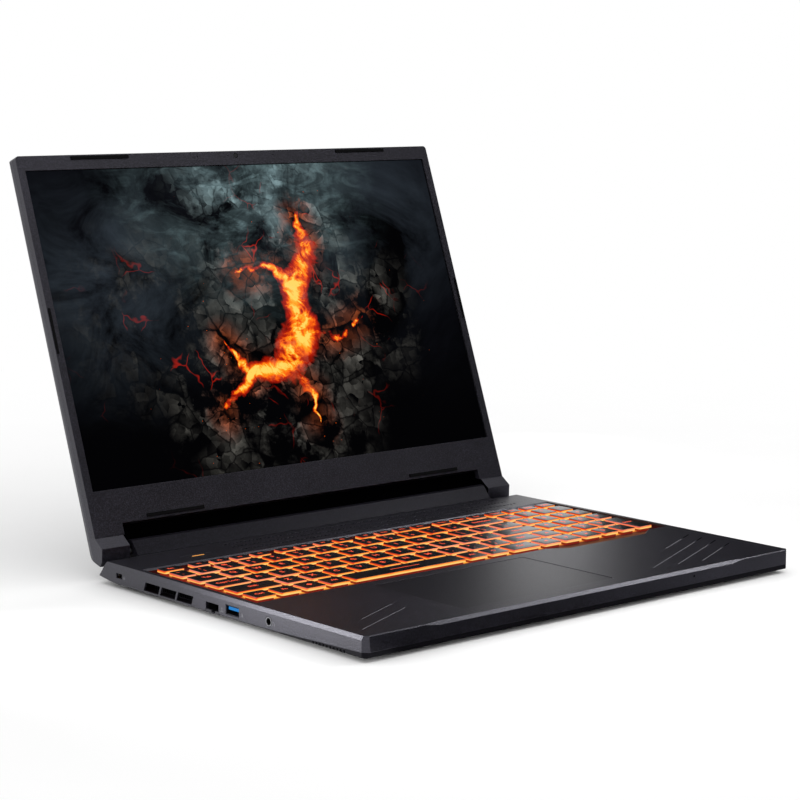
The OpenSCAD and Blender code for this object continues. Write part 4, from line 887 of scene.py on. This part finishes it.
# Legends and widths, in key pitches, of each row from the front back; "O" is a ring and "<>" a lozenge
ROWS = [
    [("Ctrl", 1), ("Fn", 1), ("<>", 1), ("Alt", 1), ("", 5), ("Alt", 1), ("O", 1), ("Ctrl", 1.5)] + plain("<v>"),
    [("Shift", 2)] + plain("ZXCVBNM") + paired("<>?", ",./") + [("Shift", 1.5), ("^", 1)],
    [("Caps Lock", 1.53)] + plain("ASDFGHJKL") + paired(':"', ";'") + [("Enter", 1.97)],
    [("Tab", 1.285)] + plain("QWERTYUIOP") + paired("{}", "[]") + [(("|", "\\"), 1.215)],
    [(("~", "`"), 0.785)] + paired("!@#$%^&*()_+", "1234567890-=") + [("Backspace", 1.715)],
]


def row_keys(row):
    """Keys of one row as legend, left, front, width and depth, each starting a gap after the last."""
    keys, x = [], LEFT
    for legend, width in ROWS[row]:
        keys.append((legend, x, FRONT + row * UNIT, width * UNIT - GAP, CAP))
        x += width * UNIT
    return keys


def num_key(legend, col, row, rows=1):
    """A key of the number pad."""
    return (legend, NUM_LEFT + col * NUM_UNIT, FRONT + row * UNIT, NUM_CAP, rows * UNIT - GAP)


def fn_row(legends, left, pitch, width):
    """Keys of the function row, one pitch apart from the left."""
    return [(legend, left + i * pitch, FN_FRONT, width, FN_DEPTH) for i, legend in enumerate(legends)]


def key_groups():
    """Every key of the board, by the CAD node that it belongs to."""
    front, lower, home, upper, digits = (row_keys(r) for r in range(5))
    small = FN_UNIT - GAP
    functions = fn_row(["Esc"], LEFT, FN_UNIT, CAP)
    for block_of_four in range(3):
        names = ["F%d" % (4 * block_of_four + i + 1) for i in range(4)]
        functions += fn_row(names, FN_LEFT + block_of_four * FN_BLOCK, FN_UNIT, small)
    editing = fn_row(["PrtSc", "Pause", "Del"], FN_LEFT + 3 * FN_BLOCK, FN_UNIT, small)
    editing += fn_row(["Home", "End", "PgUp", "PgDn"], NUM_LEFT + 0.1, NUM_UNIT, NUM_CAP)
    pad = [num_key(t, c, 4) for c, t in enumerate(("Num", "/", "*", "-"))]
    for row, legends in ((3, "789+"), (2, "456="), (1, "123")):
        pad += [num_key(t, c, row) for c, t in enumerate(legends)]
    pad += [num_key("0", 1, 0), num_key(".", 2, 0)]
    return {
        "keys_function": functions,
        "keys_navigation": editing,
        "keys_digits": digits[:13],
        "key_backspace": [digits[13]],
        "key_tab": [upper[0]],
        "keys_letters_upper": upper[1:],
        "key_caps_lock": [home[0]],
        "keys_letters_home": home[1:12],
        "key_enter": [home[12]],
        "key_shift_left": [lower[0]],
        "keys_letters_lower": lower[1:11],
        "key_shift_right": [lower[11]],
        "keys_modifiers": front[0:4] + front[5:8],
        "key_space": [front[4]],
        "keys_arrows": front[8:11] + [lower[12]],
        "keys_numpad": pad,
        "key_numpad_enter": [num_key("Enter", 3, 0, 2)],
    }


ARROWS = {"<": 180, ">": 0, "^": 90, "v": 270}
SIGNS = (*ARROWS, "<>", "O")
CAP_CORNER = 1.2


def body_of_node(node):
    """The CAD body that holds a node."""
    return next(name for name, nodes in frame["record"]["behaviour"]["bodies"].items() if node in nodes)


def key_cap(key, props):
    """One cap as stacked round rectangles: up inside from its hollow, round its rim, up its side and over its top."""
    x, y, w, d = key[1:]
    top = props.proud
    foot = top - props.height
    profile = [
        (1.5, top - 0.7),
        (1.0, top - 0.75),
        (1.0, foot),
        (0.02, foot),
        (0.0, foot + 0.15),
        (0.05, top - 0.3),
        (0.1, top - 0.12),
        (0.22, top - 0.03),
        (0.4, top),
    ]
    rings = stacked_outlines((w, d), CAP_CORNER, props.corner, profile)
    rings += np.array([x + w / 2, y + d / 2, 0.0])
    return capped_rings(rings)


def mark_shape(text, size, thick):
    """A sign that isn't a word: an arrow head, a lozenge or a ring, about its middle."""
    if text in ARROWS:
        a = math.radians(ARROWS[text])
        head = np.array([[0.42, 0.0], [-0.3, 0.4], [-0.3, -0.4]]) * size
        turn = np.array([[math.cos(a), math.sin(a)], [-math.sin(a), math.cos(a)]])
        return upright_plate(head @ turn, -thick / 2, thick / 2)
    if text == "<>":
        outer = round_outline(0.8 * size, 0.8 * size, 0.05, 2)
        turn = np.array([[1, 1], [-1, 1]]) / math.sqrt(2)
        return upright_plate(outer @ turn, -thick / 2, thick / 2)
    return ring_plate(np.zeros(2), 0.28 * size, 0.42 * size, 0.0, 2 * math.pi - 0.02, 20, -thick / 2, thick / 2)


def key_legend(key, props, thick=0.04):
    """The legends of one key: a word or sign in its middle, two signs on its left, or a bar on the space key."""
    legend, x, y, w, d = key
    z = props.proud + 0.01
    if not legend:
        ends = [(x + w / 2 + aside, y + d / 2) for aside in (-12, 12)]
        return [line_plate(*ends, 0.7, z - thick / 2, z + thick / 2)]
    full = d > FN_DEPTH
    # each legend with its share of the cap's width and depth, and its size
    if isinstance(legend, tuple):
        spots = [(legend[0], 0.36, 0.7, 4.2), (legend[1], 0.36, 0.3, 4.4)]
    elif len(legend) == 1 and full and legend not in SIGNS:
        spots = [(legend, 0.42, 0.56, 5.8)]
    else:
        size = min(4.0 if full else 3.4, 1.9 * (w - 2.4) / len(legend))
        spots = [(legend, 0.5, 0.52, size)]
    shape = mark_shape if legend in SIGNS and full else word_shape
    parts = []
    for text, across, back, size in spots:
        points, faces = shape(text, size, thick)
        parts.append((points + np.array([x + across * w, y + back * d, z]), faces))
    return parts


# ---------------------------------------------------------------- operators

# How far a thin plate on a surface reaches into it
SUNK = -0.02


class NotebookOperator:
    """What every operator here shares."""

    bl_options = {"REGISTER", "UNDO"}


class NOTEBOOK_OT_finishes(NotebookOperator, bpy.types.Operator):
    """Gives every CAD node its real material"""

    bl_idname = "notebook.finishes"
    bl_label = "Finish the moulded and metal parts"

    def execute(self, context):
        made = finishes(context.scene)
        for finish, nodes in NODE_FINISH.items():
            for node in nodes:
                mesh = frame["nodes"][node].data
                mesh.materials.clear()
                mesh.materials.append(made[finish])
        return {"FINISHED"}


class NOTEBOOK_OT_keys(NotebookOperator, bpy.types.Operator):
    """Builds the lit key caps and their legends"""

    bl_idname = "notebook.keys"
    bl_label = "Build the keys"

    def execute(self, context):
        made, props = finishes(context.scene), context.scene.notebook_keys
        for node, keys in key_groups().items():
            body = body_of_node(node)
            points, faces = join([key_cap(k, props) for k in keys])
            caps = piece(node + "_caps", base(points), faces, made["key"], body, smooth=True)
            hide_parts(node)
            soft = caps.modifiers.new("Edges", "EDGE_SPLIT")
            soft.split_angle = math.radians(50)
            points, faces = join([p for k in keys for p in key_legend(k, props)])
            legends = piece(node + "_legends", base(points), faces, made["legend"], body)
        return {"FINISHED"}


class NOTEBOOK_OT_screen(NotebookOperator, bpy.types.Operator):
    """Lays the lit picture on the panel"""

    bl_idname = "notebook.screen"
    bl_label = "Light the screen"

    def execute(self, context):
        made = finishes(context.scene)
        (x0, z0), (x1, z1) = WINDOW_LOW, WINDOW_HIGH
        corners = np.array([[x0, z0], [x1, z0], [x1, z1], [x0, z1]])
        points = np.array([[x, GLASS_Y - off, z] for off in (0.06, 0.02) for x, z in corners])
        faces = [[0, 1, 2, 3], [7, 6, 5, 4]] + grid_faces(2, 4)[:, ::-1].tolist()
        sheet = piece("screen_picture", lid(points), faces, made["picture"], "display_lid")
        layer = sheet.data.uv_layers.new(name="UVMap")
        index = np.empty(len(sheet.data.loops), dtype=np.int64)
        sheet.data.loops.foreach_get("vertex_index", index)
        layer.data.foreach_set("uv", ((corners - WINDOW_LOW) / (WINDOW_HIGH - WINDOW_LOW))[index % 4].ravel())
        return {"FINISHED"}


def stripes(end_x, first_y, lengths, pitch=12.0, angle=25.0):
    """Parallel stripes that end one pitch apart on a line from front to back, each with its own length."""
    along = np.array([math.cos(math.radians(angle)), math.sin(math.radians(angle))])
    ends = [np.array([end_x, first_y + i * pitch]) for i in range(len(lengths))]
    return [(end - length * along, end) for end, length in zip(ends, lengths)]


PALE_LINES = stripes(-118.0, 38.0, (58.0, 42.0)) + stripes(150.0, 31.0, (44.0, 66.0, 88.0, 34.0))
DARK_LINES = stripes(165.0, 38.0, (12.0, 12.0, 12.0, 12.0))
# The pinhole's place on the front wall as x, z, the dot's place on the deck as x, y, and their radii
PINHOLE, PINHOLE_RADIUS = (88.0, -4.7), 0.75
DOT, DOT_RADIUS = (29.3, 12.7), 0.45


class NOTEBOOK_OT_lines(NotebookOperator, bpy.types.Operator):
    """Draws the stripes on the palm rest and the round marks near the front"""

    bl_idname = "notebook.lines"
    bl_label = "Draw the palm-rest stripes"

    def execute(self, context):
        made, props = finishes(context.scene), context.scene.notebook_marks
        for name, finish, lines, width, high in (
            ("palm_stripes_pale", "pale", PALE_LINES, props.width, 0.03),
            ("palm_stripes_dark", "dark", DARK_LINES, 0.8, 0.025),
        ):
            points, faces = join([line_plate(a, b, width, SUNK, high) for a, b in lines])
            piece(name, base(points), faces, made[finish], "base")
        self.round_marks(made)
        return {"FINISHED"}

    @staticmethod
    def round_marks(made):
        """A black disc painted as the shade of the pinhole in the front wall, which leans back as it rises, and a pale
        dot at the pad's front corner.
        """
        turn = np.linspace(0.0, 2 * math.pi, 12, endpoint=False)
        ring = np.column_stack([np.cos(turn), np.sin(turn)])
        points, faces = upright_plate(PINHOLE_RADIUS * ring, SUNK, 0.04)
        x, z, out = points[:, 0] + PINHOLE[0], points[:, 1] + PINHOLE[1], points[:, 2]
        pinhole_shade = np.column_stack([x, FRONT_WALL + FRONT_LEAN * z - out, z])
        piece("front_pinhole", base(pinhole_shade), faces, made["dark"], "base")
        points, faces = upright_plate(DOT_RADIUS * ring, SUNK, 0.03)
        corner = base(points + np.array([*DOT, 0.0]))
        piece("pad_corner_dot", corner, faces, made["pale"], "base")


def side_print(parts, low, high):
    """Turns flat marks drawn as y, z into thin prints on the left wall, between two distances from the middle."""
    points, faces = join(parts)
    y, z, t = points[:, 0], points[:, 1], points[:, 2]
    return np.column_stack([-(low + t * (high - low)), y, z]), faces


class NOTEBOOK_OT_sockets(NotebookOperator, bpy.types.Operator):
    """Adds the contacts inside the sockets and the signs beside them"""

    bl_idname = "notebook.sockets"
    bl_label = "Finish the sockets"

    def execute(self, context):
        made = finishes(context.scene)
        # each socket's middle, contacts, pitch and half width, and their reach from the wall and height
        rows = (
            (NETWORK_Y, 8, 1.02, 0.2, (5.5, 15.5), (-6.95, -6.62)),
            (USB_Y, 4, 2.4, 0.5, (2.0, 11.0), (-7.97, -7.84)),
        )
        pins = []
        for middle, count, pitch, half, (near, far), (low, high) in rows:
            for i in range(count):
                y = middle + (i - (count - 1) / 2) * pitch
                pins.append(block((near - HALF_W, y - half, low), (far - HALF_W, y + half, high)))
        points, faces = join(pins)
        piece("socket_contacts", base(points), faces, made["gold"], "base")
        points, faces = side_print(self.signs(), HALF_W - 0.03, HALF_W + 0.05)
        piece("side_signs", base(points), faces, made["icon"], "base")
        return {"FINISHED"}

    @staticmethod
    def signs():
        """A padlock, three joined boxes, a plug and a headband, each just in front of its socket."""

        def bar(y0, z0, y1, z1, width):
            return line_plate((y0, z0), (y1, z1), width, 0, 1)

        def arch(y, z, inner, outer, steps):
            return ring_plate(np.array([y, z]), inner, outer, 0.0, math.pi, steps, 0, 1)

        lock, boxes, plug, head = LOCK_Y - 5.6, NETWORK_Y - 9.9, USB_Y - 9.9, AUDIO_Y - 4.4
        return [
            bar(lock - 1.0, -7.7, lock + 1.0, -7.7, 1.3),
            arch(lock, -7.1, 0.45, 0.75, 8),
            bar(boxes - 0.5, -8.0, boxes + 0.5, -8.0, 0.8),
            bar(boxes - 1.4, -9.9, boxes - 0.4, -9.9, 0.8),
            bar(boxes + 0.4, -9.9, boxes + 1.4, -9.9, 0.8),
            bar(boxes - 0.9, -9.0, boxes + 0.9, -9.0, 0.25),
            bar(plug, -8.2, plug, -9.8, 1.3),
            bar(plug - 0.4, -7.5, plug - 0.4, -8.3, 0.3),
            bar(plug + 0.4, -7.5, plug + 0.4, -8.3, 0.3),
            arch(head, -8.4, 0.85, 1.15, 10),
            bar(head - 1.0, -8.4, head - 1.0, -9.4, 0.55),
            bar(head + 1.0, -8.4, head + 1.0, -9.4, 0.55),
        ]


# Where the camera stands, in millimetres from the deck's front edge, and the way it looks
CAMERA_PLACE, CAMERA_WAY = (-949.93, -928.17, 302.89), (0.6443, 0.7517, -0.1407)

# Each lamp's name, place, target and size in metres, the property with its power, and its cone in degrees
LAMPS = [
    # a narrow strip over the right front draws the pale line along the front bevel
    ("Front strip", (0.66, -0.42, 0.60), (0.04, -0.185, 0.014), (0.5, 0.16), "front", 22),
    # a box low at the left lifts the front half of the side wall and the lid's edge
    ("Left box", (-0.36, 0.03, 0.03), (-0.18, -0.16, 0.005), (0.12, 0.05), "side", 80),
    # a small box past the lid's right edge lies as a soft patch on the keys, the pad and the palm rest
    ("Rear box", (0.467, 0.332, 0.15), (0.025, -0.1, 0.0), (0.08, 0.24), "rear", 120),
]


class NOTEBOOK_OT_stage(NotebookOperator, bpy.types.Operator):
    """Sets the floor, the velvet, the soft boxes, the even light and the camera"""

    bl_idname = "notebook.stage"
    bl_label = "Set the stage"

    def execute(self, context):
        scene, props = context.scene, context.scene.notebook_stage
        self.floor(props)
        self.world(scene, props)
        self.dark_cloth()
        for name, place, target, size, power, cone in LAMPS:
            self.soft_box(name, place, target, size, getattr(props, power), cone)
        camera = bpy.data.objects.new("Camera", bpy.data.cameras.new("Camera"))
        scene.collection.objects.link(camera)
        camera.location = base([CAMERA_PLACE])[0]
        camera.rotation_euler = Vector(CAMERA_WAY).to_track_quat("-Z", "Y").to_euler()
        camera.data.lens = props.lens
        camera.data.sensor_width = 36.0
        camera.data.clip_start = 0.01
        scene.camera = camera
        scene.view_settings.view_transform = "Standard"
        return {"FINISHED"}

    @staticmethod
    def soft_box(name, place, target, size, power, cone):
        """A rectangular lamp at a place, turned to a target, with its light kept to a cone in degrees."""
        data = bpy.data.lights.new(name, "AREA")
        data.shape, data.size, data.size_y, data.energy = "RECTANGLE", size[0], size[1], power
        data.spread = math.radians(cone)
        lamp = bpy.data.objects.new(name, data)
        lamp.location = place
        lamp.rotation_euler = (Vector(target) - Vector(place)).to_track_quat("-Z", "Y").to_euler()
        lamp.visible_camera = False
        bpy.context.scene.collection.objects.link(lamp)

    @staticmethod
    def set_down(name, points, faces, material):
        """One mesh of the stage, which is no part of the object."""
        mesh = bpy.data.meshes.new(name)
        mesh.from_pydata(points.reshape(-1, 3).tolist(), [], faces)
        mesh.materials.append(material)
        item = bpy.data.objects.new(name, mesh)
        bpy.context.scene.collection.objects.link(item)
        return item

    def dark_cloth(self):
        """Black velvet that only reflections see: flat from near the object out, then upright.

        Its distance and height are carried round the middle from the front left to the right rear. The upright
        part is lower in front, and the flat part has a paler patch near the object's right side.
        """
        turn = np.radians(np.linspace(-130.0, 74.0, 35))
        flat = np.full(len(turn), 0.0008)
        high = np.stack([flat, flat, np.where(np.degrees(turn) < 5.0, 0.82, 1.4)])
        far = np.array([[0.02], [1.0], [1.0]])
        grid = np.stack([far * np.cos(turn), far * np.sin(turn), high], axis=-1)
        material, tree, place = blank("Black velvet")
        tone = ramp(tree, noise(tree, place, 90.0), [(0.3, linear("#040405")), (0.7, linear("#0a0a0c"))])
        right = spread(tree, axis(tree, place, "X"), -0.02, 0.22, shape="SMOOTHSTEP")
        close = spread(tree, measure(tree, "LENGTH", place), 0.55, 0.35)
        tone = blend(tree, number(tree, "MULTIPLY", right, close), tone, (0.4, 0.4, 0.43, 1))
        finished(material, add(tree, "ShaderNodeBsdfDiffuse", {"Color": tone}).outputs["BSDF"])
        cloth = self.set_down("black_velvet", grid, grid_faces(3, len(turn), closed=False).tolist(), material)
        cloth.visible_camera = cloth.visible_diffuse = cloth.visible_shadow = cloth.visible_transmission = False

    @staticmethod
    def sees_background(tree):
        """1 for the rays that show the background as it is: camera, glossy and transmission rays."""
        path = add(tree, "ShaderNodeLightPath").outputs
        first = number(tree, "MAXIMUM", path["Is Camera Ray"], path["Is Glossy Ray"])
        return number(tree, "MAXIMUM", first, path["Is Transmission Ray"])

    def floor(self, props):
        """A disc under the object: matt and pale where the shadow falls, plain white further out."""
        rings, cols, reach = 24, 96, 9.0
        r = (np.arange(1, rings + 1)[:, None] / rings) ** 2 * reach
        t = np.arange(cols) * 2 * math.pi / cols
        grid = np.stack([r * np.cos(t), r * np.sin(t), np.zeros((rings, cols))], axis=-1)
        points = np.concatenate([grid.reshape(-1, 3), [[0, 0, 0]]])
        k = np.arange(cols)
        fan = np.stack([np.full(cols, rings * cols), k, (k + 1) % cols], axis=-1)
        faces = grid_faces(rings, cols)[:, ::-1].tolist() + fan.tolist()
        material, tree, place = blank("Matt studio floor")
        fade = spread(tree, measure(tree, "LENGTH", place), 0.35, 1.1, shape="SMOOTHSTEP")
        shown = number(tree, "MULTIPLY", fade, self.sees_background(tree))
        stops = [(0.3, scaled(props.floor, 0.99)), (0.7, tuple(props.floor))]
        matt = add(tree, "ShaderNodeBsdfDiffuse", {"Color": ramp(tree, noise(tree, place, 12.0), stops)})
        white = add(tree, "ShaderNodeEmission", {"Color": (1, 1, 1, 1), "Strength": 1.0})
        finished(material, either(tree, shown, matt.outputs["BSDF"], white.outputs["Emission"]))
        self.set_down("studio_floor", points, faces, material)

    def world(self, scene, props):
        """Even grey light, and plain white where the background itself is seen."""
        world = bpy.data.worlds.new("Studio")
        scene.world = world
        world.use_nodes = True
        tree = world.node_tree
        tree.nodes.clear()
        light, white = (
            add(tree, "ShaderNodeBackground", {"Color": (1, 1, 1, 1), "Strength": level}).outputs[0]
            for level in (props.world, 1.0)
        )
        output = add(tree, "ShaderNodeOutputWorld")
        tree.links.new(either(tree, self.sees_background(tree), light, white), output.inputs["Surface"])


class NOTEBOOK_PT_panel(bpy.types.Panel):
    """Lists the steps and their settings"""

    bl_label = "Notebook Computer"
    bl_idname = "NOTEBOOK_PT_panel"
    bl_space_type = "VIEW_3D"
    bl_region_type = "UI"
    bl_category = "Notebook"

    def draw(self, context):
        for step in STEPS:
            self.layout.operator(step.bl_idname)
        for group in GROUPS:
            box = self.layout.box()
            for key in GROUPS[group].__annotations__:
                box.prop(getattr(context.scene, group), key)


GROUPS = {
    "notebook_shell": NotebookShell,
    "notebook_keys": NotebookKeys,
    "notebook_screen": NotebookScreen,
    "notebook_marks": NotebookMarks,
    "notebook_stage": NotebookStage,
}
STEPS = [
    NOTEBOOK_OT_stage,
    NOTEBOOK_OT_finishes,
    NOTEBOOK_OT_keys,
    NOTEBOOK_OT_screen,
    NOTEBOOK_OT_lines,
    NOTEBOOK_OT_sockets,
]


def register():
    """Registers the property groups, the operators and the panel."""
    for name, group in GROUPS.items():
        bpy.utils.register_class(group)
        setattr(bpy.types.Scene, name, PointerProperty(type=group))
    for item in STEPS + [NOTEBOOK_PT_panel]:
        bpy.utils.register_class(item)


def unregister():
    """Takes them all away again."""
    for item in [NOTEBOOK_PT_panel] + STEPS[::-1]:
        bpy.utils.unregister_class(item)
    for name, group in GROUPS.items():
        delattr(bpy.types.Scene, name)
        bpy.utils.unregister_class(group)


def main():
    register()
    for step in STEPS:
        area, name = step.bl_idname.split(".")
        if getattr(getattr(bpy.ops, area), name)() != {"FINISHED"}:
            raise RuntimeError(step.bl_label + " did not finish")


if __name__ == "__main__":
    main()
